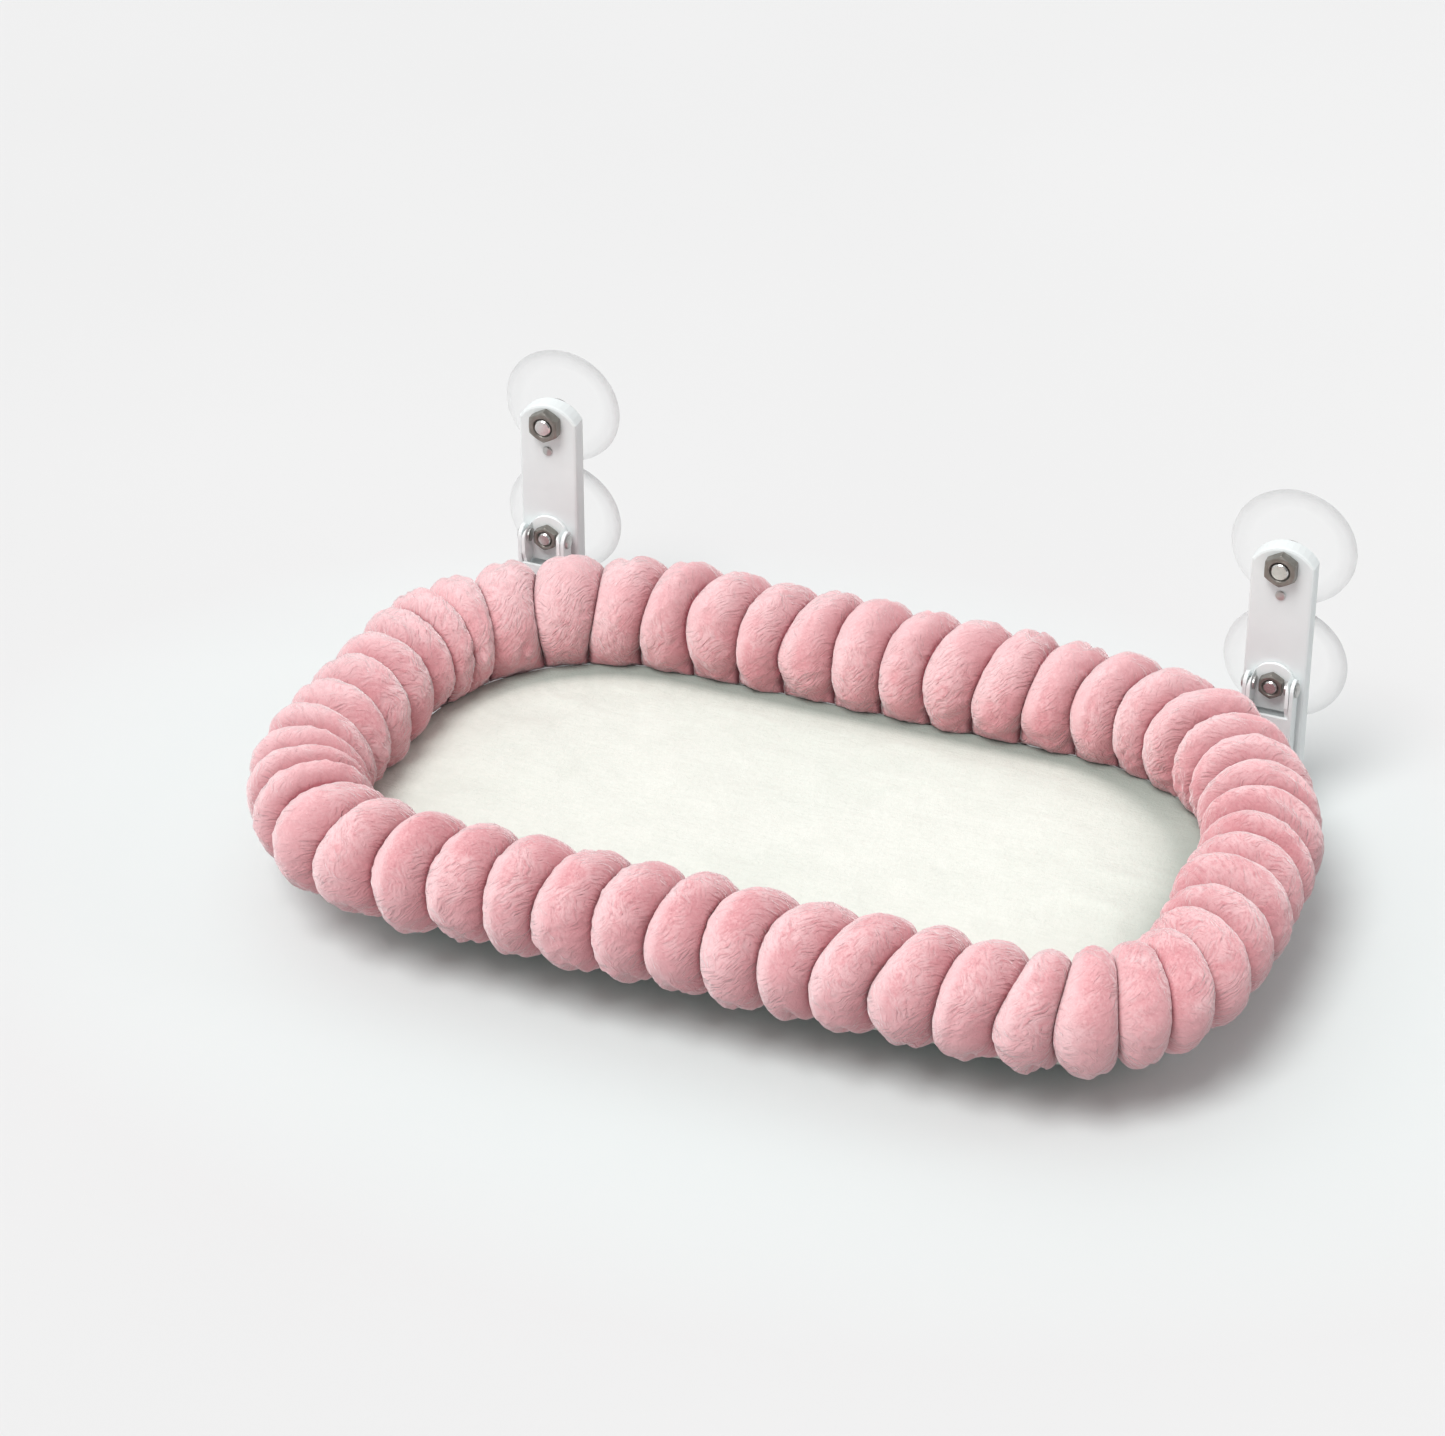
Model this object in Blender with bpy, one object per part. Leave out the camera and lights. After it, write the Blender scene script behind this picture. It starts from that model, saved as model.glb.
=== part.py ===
"""Cat window hammock: a plush nest on a steel ring, carried by two folding
arms on two brackets that hold to a window pane with four suction cups.

Frame: X runs along the window, +Z is up, the glass is the plane y = 0 and
the room is on the side of negative y. The origin lies on the glass, midway
between the brackets, at the height of the upper suction cups.
Lengths below are in millimetres and are turned into metres by MM.
"""
import math

import bmesh
import bpy
import numpy as np
from mathutils import Matrix, Vector

MM = 0.001
GAP = 0.3              # running or contact gap between touching pieces

# ---- brackets and suction cups --------------------------------------------
BRACKET_X = 215.0      # bracket centre from the middle
CUP_PITCH = 72.0       # upper cup axis to lower cup axis
CUP_R = 35.0           # suction cup radius
PLATE_W = 35.0         # wall plate width
PLATE_FRONT = -23.0    # front face of the wall plate
PLATE_T = 2.0          # sheet thickness
PLATE_DEPTH = 10.0     # depth of the folded rim
PLATE_TOP = 11.0       # top of the plate
PLATE_BOTTOM = -152.0
PLATE_ARC = 20.5       # radius of the rounded plate ends
UPPER_STUD_R = 5.0     # M10
LOWER_STUD_R = 4.0     # M8
UPPER_NUT_AF = 17.0
LOWER_NUT_AF = 13.0
UPPER_NUT_T = 6.5
LOWER_NUT_T = 5.5
RIVET_Z = -18.0        # small rivet under the upper nut

# ---- hinge -------------------------------------------------------------------
PIVOT_Y = -30.0
PIVOT_Z = -71.0
EAR_IN = 9.9           # inner face of the hinge bracket's ear, from its centre
EAR_T = 2.0
CHEEK_IN = 12.2        # inner face of the arm's cheek, from its centre
CHEEK_T = 2.0
PIVOT_R = 2.5          # shank of the pivot rivet

# ---- bed ---------------------------------------------------------------------
BED_X = 248.0          # half length of the bolster's and ring's centreline
BED_BACK = -48.0       # centreline at the window side
BED_FRONT = -333.0     # centreline at the room side
R_BACK = 125.0         # centreline corner radius, window side
R_FRONT = 82.0         # centreline corner radius, room side
BOLSTER_Z = -93.0
BOLSTER_R = 30.5       # firm core of the bolster; its pile stands proud of it
DECK_TOP = -127.2      # top of the sling
RING_X = 222.0         # half length of the ring's centreline
RING_INSET = 20.0      # ring centreline from the bolster's, front and back
RING_Z = -130.0
RING_R = 8.0           # 16 mm tube
RING_WALL = 1.4
SLEEVE_R = 10.0        # outside of the sling's sleeve
SLEEVE_IN = 8.5
MAT_TOP = -118.2

# ---- arm ---------------------------------------------------------------------
ARM_FRONT_FACE = -36.0     # front of the arm's upright leg
ARM_BACK_FACE = -25.0
ARM_TOP_FACE = -141.8      # top of the arm's level leg
ARM_DEPTH = 12.0
ARM_END = -265.0
ARM_T = 2.0
BUMPER_Z = -124.0          # height of the heel bumper
SADDLE_BACK_Y = -163.0
SADDLE_FRONT_Y = -247.0


# ---- scene clean-up ------------------------------------------------------------
for old in list(bpy.data.objects):
    bpy.data.objects.remove(old, do_unlink=True)


# ---- materials -------------------------------------------------------------------
def material(name, rgb, rough, metal=0.0, transmission=0.0):
    m = bpy.data.materials.new(name)
    m.use_nodes = True
    b = m.node_tree.nodes["Principled BSDF"]
    b.inputs["Base Color"].default_value = (*rgb, 1.0)
    b.inputs["Roughness"].default_value = rough
    b.inputs["Metallic"].default_value = metal
    b.inputs["Transmission Weight"].default_value = transmission
    m.diffuse_color = (*rgb, 1.0)
    return m


COAT = material("white_powder_coat", (0.80, 0.80, 0.80), 0.35)
PVC = material("clear_pvc", (0.95, 0.96, 0.96), 0.05, 0.0, 0.9)
STEEL = material("polished_steel", (0.42, 0.41, 0.40), 0.22, 1.0)
ZINC = material("zinc_steel", (0.60, 0.60, 0.60), 0.35, 1.0)
RUBBER = material("grey_rubber", (0.20, 0.20, 0.21), 0.8)
PLASTIC = material("white_plastic", (0.78, 0.78, 0.77), 0.45)
PINK = material("pink_plush", (0.72, 0.33, 0.37), 0.9)
CREAM = material("cream_plush", (0.88, 0.88, 0.80), 0.9)
SLING = material("sling_cloth", (0.82, 0.80, 0.76), 0.85)
WEB = material("strap_web", (0.70, 0.68, 0.65), 0.8)


# ---- helpers ---------------------------------------------------------------------
def new_object(name, bm, mat, smooth=math.radians(35)):
    bmesh.ops.recalc_face_normals(bm, faces=bm.faces[:])
    me = bpy.data.meshes.new(name)
    bm.to_mesh(me)
    bm.free()
    me.shade_smooth()
    me.set_sharp_from_angle(angle=smooth)
    ob = bpy.data.objects.new(name, me)
    bpy.context.scene.collection.objects.link(ob)
    if mat:
        me.materials.append(mat)
    return ob


def prism(name, outline, axis, lo, hi, mat=None):
    """A straight prism: outline is a closed list of 2D points in mm, in the
    plane across axis, and the solid runs from lo to hi along axis."""
    bm = bmesh.new()

    def at(p, h):
        a, b = p
        if axis == "x":
            v = (h, a, b)
        elif axis == "y":
            v = (a, h, b)
        else:
            v = (a, b, h)
        return bm.verts.new([c * MM for c in v])

    low = [at(p, lo) for p in outline]
    high = [at(p, hi) for p in outline]
    bm.faces.new(low)
    bm.faces.new(list(reversed(high)))
    n = len(outline)
    for i in range(n):
        j = (i + 1) % n
        bm.faces.new((low[j], low[i], high[i], high[j]))
    return new_object(name, bm, mat)


def turned(name, profile, origin, axis, steps, mat=None):
    """A turned solid: profile is a closed loop of (radius, height) in mm about
    axis ('x', 'y' or 'z'), placed at origin. Points at radius 0 are poles."""
    bm = bmesh.new()
    rings = []
    for r, h in profile:
        ring = []
        count = 1 if r < 1e-9 else steps
        for k in range(count):
            a = 2 * math.pi * k / steps
            u, v = r * math.cos(a), r * math.sin(a)
            if axis == "x":
                p = (h, u, v)
            elif axis == "y":
                p = (u, h, v)
            else:
                p = (u, v, h)
            ring.append(bm.verts.new([(p[i] + origin[i]) * MM for i in range(3)]))
        rings.append(ring)
    n = len(rings)
    for i in range(n):
        a, b = rings[i], rings[(i + 1) % n]
        if len(a) == 1 and len(b) == 1:
            continue
        for k in range(steps):
            q = (k + 1) % steps
            if len(a) == 1:
                bm.faces.new((a[0], b[q], b[k]))
            elif len(b) == 1:
                bm.faces.new((a[k], a[q], b[0]))
            else:
                bm.faces.new((a[k], a[q], b[q], b[k]))
    return new_object(name, bm, mat)


def boolean(ob, cutter, operation="DIFFERENCE"):
    """Applies one exact Boolean to ob and removes the cutter."""
    mod = ob.modifiers.new("cut", "BOOLEAN")
    mod.operation = operation
    mod.solver = "EXACT"
    mod.object = cutter
    bpy.context.view_layer.update()
    deps = bpy.context.evaluated_depsgraph_get()
    me = bpy.data.meshes.new_from_object(ob.evaluated_get(deps))
    ob.modifiers.remove(mod)
    old = ob.data
    ob.data = me
    bpy.data.meshes.remove(old)
    bpy.data.objects.remove(cutter, do_unlink=True)
    return ob


def cut_round(ob, centre, r, axis, lo, hi, steps=16):
    c = turned("cutter", [(0, lo), (r, lo), (r, hi), (0, hi)], centre, axis, steps)
    return boolean(ob, c)


def cut_box(ob, x0, x1, y0, y1, z0, z1):
    c = prism("cutter", [(x0, y0), (x1, y0), (x1, y1), (x0, y1)], "z", z0, z1)
    return boolean(ob, c)


def arc(cx, cy, r, a0, a1, n):
    """Points on an arc, angles in degrees, both ends included."""
    return [(cx + r * math.cos(math.radians(a0 + (a1 - a0) * i / n)),
             cy + r * math.sin(math.radians(a0 + (a1 - a0) * i / n)))
            for i in range(n + 1)]


def bed_path(offset=0.0, corner=9, straight=(2, 1), half=BED_X, inset=0.0):
    """The bed's plan outline: centreline moved outward by offset, as
    (x, y, outward normal). Runs anticlockwise seen from above."""
    x1 = half + offset
    yb, yf = BED_BACK - inset + offset, BED_FRONT + inset - offset
    rb, rf = R_BACK - inset + offset, R_FRONT - inset + offset
    corners = [  # centre, radius, start angle
        (x1 - rf, yf + rf, rf, -90.0),     # front right
        (x1 - rb, yb - rb, rb, 0.0),       # back right
        (-x1 + rb, yb - rb, rb, 90.0),     # back left
        (-x1 + rf, yf + rf, rf, 180.0),    # front left
    ]
    pts = []
    for i, (cx, cy, r, a0) in enumerate(corners):
        for k in range(corner + 1):
            a = math.radians(a0 + 90.0 * k / corner)
            pts.append((cx + r * math.cos(a), cy + r * math.sin(a),
                        math.cos(a), math.sin(a)))
        nx, ny, nr, na = corners[(i + 1) % 4]
        p = pts[-1]
        a = math.radians(na)
        q = (nx + nr * math.cos(a), ny + nr * math.sin(a))
        m = straight[0] if i in (1, 3) else straight[1]
        for k in range(1, m):
            t = k / m
            pts.append((p[0] + (q[0] - p[0]) * t, p[1] + (q[1] - p[1]) * t,
                        p[2], p[3]))
    return pts


def ring_path(offset=0.0, corner=8, straight=(2, 1)):
    return bed_path(offset, corner, straight, RING_X, RING_INSET)


def sweep(name, path, section, z0, closed=True, mat=None):
    """Carries a closed section of (outward, up) points in mm along path."""
    bm = bmesh.new()
    rings = []
    for x, y, nx, ny in path:
        rings.append([bm.verts.new(((x + nx * u) * MM, (y + ny * u) * MM,
                                    (z0 + w) * MM)) for u, w in section])
    n, m = len(rings), len(section)
    for i in range(n if closed else n - 1):
        a, b = rings[i], rings[(i + 1) % n]
        for k in range(m):
            q = (k + 1) % m
            bm.faces.new((a[k], b[k], b[q], a[q]))
    if not closed:
        bm.faces.new(rings[0])
        bm.faces.new(list(reversed(rings[-1])))
    return new_object(name, bm, mat)


def circle(r, n, start=0.0):
    return [(r * math.cos(2 * math.pi * k / n + start),
             r * math.sin(2 * math.pi * k / n + start)) for k in range(n)]


def plate_outline(inset):
    """Front outline (x, z) of a wall plate, moved inward by inset."""
    w = PLATE_W / 2 - inset
    r = PLATE_ARC - inset
    half = math.degrees(math.asin(w / r))
    top = arc(0, PLATE_TOP - PLATE_ARC, r, 90 - half, 90 + half, 12)
    bottom = arc(0, PLATE_BOTTOM + PLATE_ARC, r, 270 - half, 270 + half, 8)
    return top + bottom


def edge_bevel(ob, width, segments, test):
    """Rounds the edges of ob for which test(a, b) is true (metres)."""
    bm = bmesh.new()
    bm.from_mesh(ob.data)
    picked = [e for e in bm.edges if test(e.verts[0].co, e.verts[1].co)]
    bmesh.ops.bevel(bm, geom=picked, offset=width * MM, segments=segments,
                    profile=0.5, affect="EDGES", clamp_overlap=True)
    bm.to_mesh(ob.data)
    bm.free()
    ob.data.shade_smooth()
    ob.data.set_sharp_from_angle(angle=math.radians(35))
    return ob


def shift(ob, x):
    ob.data.transform(Matrix.Translation((x * MM, 0, 0)))
    return ob


# ---- one bracket ------------------------------------------------------------------
def wall_plate(name):
    ob = prism(name, plate_outline(0), "y", PLATE_FRONT, PLATE_FRONT + PLATE_DEPTH, COAT)
    edge_bevel(ob, 1.5, 2, lambda a, b: a.y < (PLATE_FRONT + 0.01) * MM
               and b.y < (PLATE_FRONT + 0.01) * MM)
    boolean(ob, prism("cutter", plate_outline(PLATE_T), "y",
                      PLATE_FRONT + PLATE_T, PLATE_FRONT + PLATE_DEPTH + 5))
    cut_round(ob, (0, 0, 0), UPPER_STUD_R + GAP + 0.1, "y", -30, -15, 20)
    cut_round(ob, (0, 0, -CUP_PITCH), LOWER_STUD_R + GAP + 0.1, "y", -30, -15, 20)
    cut_round(ob, (0, 0, RIVET_Z), 1.9, "y", -30, -15, 12)
    return ob


def suction_cup(name, z, stud_r, head_r):
    """Clear cup pressed flat: a sealing ring on the glass, a shallow hollow
    inside it, a dished back and a hub that holds the head of the stud."""
    hub = -(abs(PLATE_FRONT + PLATE_T) - GAP)
    bore = stud_r + GAP
    pocket = head_r + GAP
    prof = [
        (0, -3.2), (14, -2.4), (22, 0.0), (CUP_R, 0.0),
        (CUP_R, -1.0), (29, -2.0), (20, -4.8), (13.4, -9.6),
        (12.2, -11.8), (8.7, -12.6), (8.5, hub + 0.8), (7.9, hub),
        (bore, hub), (bore, -10.6), (pocket, -10.6), (pocket, -6.7), (0, -6.7),
    ]
    return turned(name, prof, (0, 0, z), "y", 24, PVC)


def stud(name, z, r, head_r, end):
    prof = [(0, -7.0), (head_r, -7.0), (head_r, -10.3), (r, -10.3),
            (r, end + 0.8), (r - 0.8, end), (0, end)]
    return turned(name, prof, (0, 0, z), "y", 16, STEEL)


def nut(name, z, across, thick, seat, bore):
    """Hexagon nut with chamfered corners and two upright flats."""
    corner = across / math.sqrt(3)
    hexagon = [(corner * math.cos(math.radians(90 + 60 * k)),
                z + corner * math.sin(math.radians(90 + 60 * k))) for k in range(6)]
    ob = prism(name, hexagon, "y", seat - thick, seat, STEEL)
    face = seat - thick
    ch = turned("cutter", [(0, face), (across / 2 - 0.2, face),
                           (across / 2 + 1.6, face + 1.0),
                           (across / 2 + 1.6, seat + 1), (0, seat + 1)],
                (0, 0, z), "y", 24)
    boolean(ob, ch, "INTERSECT")
    cut_round(ob, (0, 0, z), bore, "y", seat - thick - 2, seat + 2, 16)
    return ob


def plate_rivet(name):
    seat = PLATE_FRONT - GAP
    prof = [(0, PLATE_FRONT + PLATE_T + 1.5), (2.6, PLATE_FRONT + PLATE_T + 1.5),
            (2.6, PLATE_FRONT + PLATE_T + GAP), (1.6, PLATE_FRONT + PLATE_T + GAP),
            (1.6, seat), (3.0, seat), (2.5, seat - 0.8), (0, seat - 1.2)]
    return turned(name, prof, (0, 0, RIVET_Z), "y", 12, ZINC)


def hinge_bracket(name):
    """U-shaped bracket clamped by the lower nut, with an ear on each side."""
    back = PLATE_FRONT - GAP
    out = EAR_IN + EAR_T
    tip = PIVOT_Y - 6.4
    u = [(-out, back), (out, back), (out, tip), (EAR_IN, tip),
         (EAR_IN, back - EAR_T), (-EAR_IN, back - EAR_T), (-EAR_IN, tip), (-out, tip)]
    ob = prism(name, u, "z", -89.0, -56.0, COAT)
    front = arc(0, -CUP_PITCH, out + 0.02, 0, 180, 16)
    front = front + [(-out - 0.02, -89.5), (out + 0.02, -89.5)]
    boolean(ob, prism("cutter", front, "y", -60, -10), "INTERSECT")
    side = [(back + 1, -58.0), (back - 2.2, -58.0)]
    side += arc(PIVOT_Y, PIVOT_Z, 6.4, 60, 180, 8)
    side += [(PIVOT_Y - 6.2, -80.0), (PIVOT_Y - 3.0, -89.5), (back + 1, -89.5)]
    boolean(ob, prism("cutter", side, "x", -40, 40), "INTERSECT")
    cut_round(ob, (0, 0, -CUP_PITCH), LOWER_STUD_R + GAP + 0.1, "y", -30, -15, 20)
    cut_round(ob, (0, PIVOT_Y, PIVOT_Z), PIVOT_R + GAP + 0.1, "x", -20, 20, 16)
    return ob


def pivot_rivet(name, side):
    """Short shoulder rivet through one ear and one cheek of the arm."""
    s = side
    ear = EAR_IN - GAP
    cheek = CHEEK_IN + CHEEK_T + GAP
    prof = [(0, s * (ear - 1.2)), (4.0, s * (ear - 1.2)), (4.0, s * ear),
            (PIVOT_R, s * ear), (PIVOT_R, s * cheek), (4.2, s * cheek),
            (3.6, s * (cheek + 1.1)), (1.8, s * (cheek + 1.8)), (0, s * (cheek + 1.8))]
    return turned(name, prof, (0, PIVOT_Y, PIVOT_Z), "x", 14, ZINC)


# ---- one arm ----------------------------------------------------------------------
def arm(name, side):
    """L-shaped channel: cheeks outside, web on the inner side of the L."""
    out = CHEEK_IN + CHEEK_T
    low = ARM_TOP_FACE - ARM_DEPTH
    outline = arc(PIVOT_Y, PIVOT_Z, 6.0, 0, 180, 10)
    outline += [(ARM_FRONT_FACE, ARM_TOP_FACE + 8.0)]
    outline += arc(ARM_FRONT_FACE - 8.0, ARM_TOP_FACE + 8.0, 8.0, 0, -90, 5)[1:]
    outline += [(ARM_END, ARM_TOP_FACE), (ARM_END, low + 3.0), (ARM_END + 3.0, low)]
    outline += arc(ARM_BACK_FACE - 12.0, low + 12.0, 12.0, -90, 0, 5)
    outline += [(ARM_BACK_FACE, PIVOT_Z - 6.0)]
    ob = prism(name, outline, "x", -out, out, COAT)
    inner = [(0, -50.0), (ARM_FRONT_FACE + ARM_T, -50.0),
             (ARM_FRONT_FACE + ARM_T, ARM_TOP_FACE + 8.0)]
    inner += arc(ARM_FRONT_FACE - 8.0, ARM_TOP_FACE + 8.0, 10.0, 0, -90, 5)[1:]
    inner += [(ARM_END - 10, ARM_TOP_FACE - ARM_T), (ARM_END - 10, low - 20), (0, low - 20)]
    boolean(ob, prism("cutter", inner, "x", -CHEEK_IN, CHEEK_IN))
    cut_box(ob, -CHEEK_IN, CHEEK_IN, -60, 0, -87.0, -50.0)
    cut_round(ob, (0, PIVOT_Y, PIVOT_Z), PIVOT_R + GAP + 0.1, "x", -20, 20, 16)
    cut_round(ob, (0, 0, BUMPER_Z), 2.6 + GAP, "y", -45, -30, 16)
    for y in (SADDLE_BACK_Y, SADDLE_FRONT_Y):
        cut_round(ob, (side * (ring_x(y) - BRACKET_X), y, 0), 2.5 + GAP, "z", -150, -135, 12)
    return ob


def end_cap(name):
    low = ARM_TOP_FACE - ARM_DEPTH
    t = CHEEK_IN - GAP
    zt, zb = ARM_TOP_FACE - ARM_T - GAP, low + 0.5
    bm_out = [(-CHEEK_IN - CHEEK_T, low + 0.2), (CHEEK_IN + CHEEK_T, low + 0.2),
              (CHEEK_IN + CHEEK_T, ARM_TOP_FACE - 0.2), (-CHEEK_IN - CHEEK_T, ARM_TOP_FACE - 0.2)]
    ob = prism(name, bm_out, "y", ARM_END - GAP - 2.4, ARM_END - GAP, PLASTIC)
    edge_bevel(ob, 1.0, 2, lambda a, b: a.y < (ARM_END - GAP - 2.3) * MM
               and b.y < (ARM_END - GAP - 2.3) * MM)
    plug = prism("plug", [(-t, zb), (t, zb), (t, zt), (-t, zt)], "y",
                 ARM_END - GAP - 0.5, ARM_END + 6.0)
    return boolean(ob, plug, "UNION")


def heel_bumper(name):
    """Rubber buffer snapped into the arm's web, standing on the wall plate."""
    web_back = ARM_FRONT_FACE + ARM_T
    prof = [(0, PLATE_FRONT - GAP), (5.6, PLATE_FRONT - GAP), (6.8, PLATE_FRONT - GAP - 1.2),
            (7.2, web_back + GAP), (2.6, web_back + GAP), (2.6, ARM_FRONT_FACE - GAP),
            (3.6, ARM_FRONT_FACE - GAP), (3.0, ARM_FRONT_FACE - GAP - 1.0), (0, ARM_FRONT_FACE - GAP - 1.2)]
    return turned(name, prof, (0, 0, BUMPER_Z), "y", 20, RUBBER)


def ring_x(y):
    """Half length of the ring's centreline at depth y, on its window side."""
    r = R_BACK - RING_INSET
    dy = y - (BED_BACK - RING_INSET - r)
    return RING_X if dy <= 0 else RING_X - r + math.sqrt(r * r - dy * dy)


def saddle(name, x, y):
    """Plastic seat between an arm's flat top and the round ring."""
    z0, z1 = ARM_TOP_FACE + GAP, RING_Z - 1.0
    w, d = 10.5, 12.0
    outline = [(x - w + 2, y - d), (x + w - 2, y - d), (x + w, y - d + 2), (x + w, y + d - 2),
               (x + w - 2, y + d), (x - w + 2, y + d), (x - w, y + d - 2), (x - w, y - d + 2)]
    ob = prism(name, outline, "z", z0, z1, PLASTIC)
    cutter = sweep("cutter", ring_path(0.0, 12), circle(RING_R + GAP + 0.15, 16), RING_Z)
    boolean(ob, cutter)
    return cut_round(ob, (x, y, 0), 2.5 + GAP, "z", -160, -120, 12)


def saddle_screw(name, x, y):
    head = ARM_TOP_FACE - ARM_T - GAP
    prof = [(0, head - 1.4), (1.7, head - 1.4), (2.2, head - 2.6), (3.2, head - 2.6),
            (4.5, head - 1.6), (4.5, head), (2.5, head), (2.5, RING_Z - 1.2),
            (1.8, RING_Z - 0.5), (0, RING_Z - 0.5)]
    return turned(name, prof, (x, y, 0), "z", 12, ZINC)


# ---- ring, sling, mat, bolster -------------------------------------------------------
def ring_half(name, side):
    """Half of the ring: a bent tube from the middle of the front to the middle
    of the back, open at both ends."""
    path = ring_path(0.0, 8)
    n = len(path)
    # the middles of the two long runs are the places where x is nearest 0
    mids = sorted(range(n), key=lambda i: abs(path[i][0]))[:2]
    a, b = sorted(mids)
    part = path[a:b + 1] if path[(a + b) // 2][0] * side > 0 else path[b:] + path[:a + 1]
    part = [list(p) for p in part]
    for p in (part[0], part[-1]):
        p[0] = side * GAP
    outer = sweep(name, part, circle(RING_R, 12), RING_Z, closed=False, mat=COAT)
    for p in (part[0], part[-1]):
        p[0] = -side * 5.0
    inner = sweep("cutter", part, circle(RING_R - RING_WALL, 12), RING_Z, closed=False)
    boolean(outer, inner)
    for y in (SADDLE_BACK_Y, SADDLE_FRONT_Y):
        cut_round(outer, (side * ring_x(y), y, 0), 2.5 + GAP, "z", -145, -132, 12)
    return outer


def ring_joint(name, y):
    r = RING_R - RING_WALL - GAP - 0.2
    prof = [(0, -35.0), (r - 1, -35.0), (r, -34.0), (r, 34.0), (r - 1, 35.0), (0, 35.0)]
    return turned(name, prof, (0, y, RING_Z), "x", 12, ZINC)


def sling():
    """Fabric panel with a sleeve round the ring. The sleeve is cut away
    under the ring at the four saddles."""
    up, low = DECK_TOP - RING_Z, DECK_TOP - RING_Z - 1.8
    a_low = 180 - math.degrees(math.asin(low / SLEEVE_R))
    a_up = 540 - math.degrees(math.asin(up / SLEEVE_R))
    # outer skin of the sleeve: from the panel's underside, below the ring,
    # round its outer side and over it to the top of the panel
    skin = arc(0, 0, SLEEVE_R, a_low, a_up, 13)
    bm = bmesh.new()
    path = ring_path(0.0, 8)
    loops = []
    for u, w in skin:
        loops.append([bm.verts.new(((x + nx * u) * MM, (y + ny * u) * MM, (RING_Z + w) * MM))
                      for x, y, nx, ny in path])
    m = len(path)
    for a, b in zip(loops, loops[1:]):
        for k in range(m):
            q = (k + 1) % m
            bm.faces.new((a[k], a[q], b[q], b[k]))
    bm.faces.new(loops[0])                       # underside of the panel
    bm.faces.new(list(reversed(loops[-1])))      # top of the panel
    ob = new_object("sling", bm, SLING)
    boolean(ob, sweep("cutter", path, circle(SLEEVE_IN, 12), RING_Z))
    for s in (-1, 1):
        for y in (SADDLE_BACK_Y, SADDLE_FRONT_Y):
            x = s * BRACKET_X
            cut_box(ob, x - 18.0, x + 18.0, y - 16.0, y + 16.0, RING_Z - 14, RING_Z + 0.2)
    return ob


def mat_pad():
    t = MAT_TOP
    b = DECK_TOP + GAP
    bm = bmesh.new()
    rings = []
    # the pad fills the hollow inside the ring and laps over the sleeve
    for off, z in ((-3.0, b), (-1.0, b + 1.0), (-0.6, RING_Z + 5.0), (1.6, RING_Z + 8.9),
                   (4.6, RING_Z + 10.6), (5.0, t - 0.6), (4.0, t - 0.1), (-3.0, t)):
        rings.append([bm.verts.new((x * MM, y * MM, z * MM))
                      for x, y, _, _ in ring_path(off - SLEEVE_R, 8)])
    for a, c in zip(rings, rings[1:]):
        n = len(a)
        for k in range(n):
            q = (k + 1) % n
            bm.faces.new((a[k], a[q], c[q], c[k]))
    bm.faces.new(rings[0])
    bm.faces.new(list(reversed(rings[-1])))
    return new_object("mat", bm, CREAM)


def bolster_half(name, side):
    """Half of the ring, butted to the other half at the middle of front and back."""
    path = bed_path(0.0, 9, (2, 2))
    back, front = [i for i, p in enumerate(path) if abs(p[0]) < 1e-6]
    half = path[back:front + 1] if side < 0 else path[front:] + path[:back + 1]
    half = [(side * GAP / 2 if abs(p[0]) < 1e-6 else p[0],) + p[1:] for p in half]
    return sweep(name, half, circle(BOLSTER_R, 16), BOLSTER_Z, closed=False, mat=PINK)


def tie_strap(name, x, y, nx, ny):
    """Webbing strap round the ring's sleeve, from under the bolster outside,
    below the ring, to the underside of the panel."""
    r0, r1 = SLEEVE_R + GAP + 0.2, SLEEVE_R + GAP + 1.6
    inner = arc(0, 0, r0, 66, -142, 13)
    outer = arc(0, 0, r1, -142, 66, 13)
    section = inner + outer
    tx, ty = -ny, nx
    path = [(x + tx * s, y + ty * s, nx, ny) for s in (-10.0, 10.0)]
    return sweep(name, path, section, RING_Z, closed=False, mat=WEB)


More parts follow.
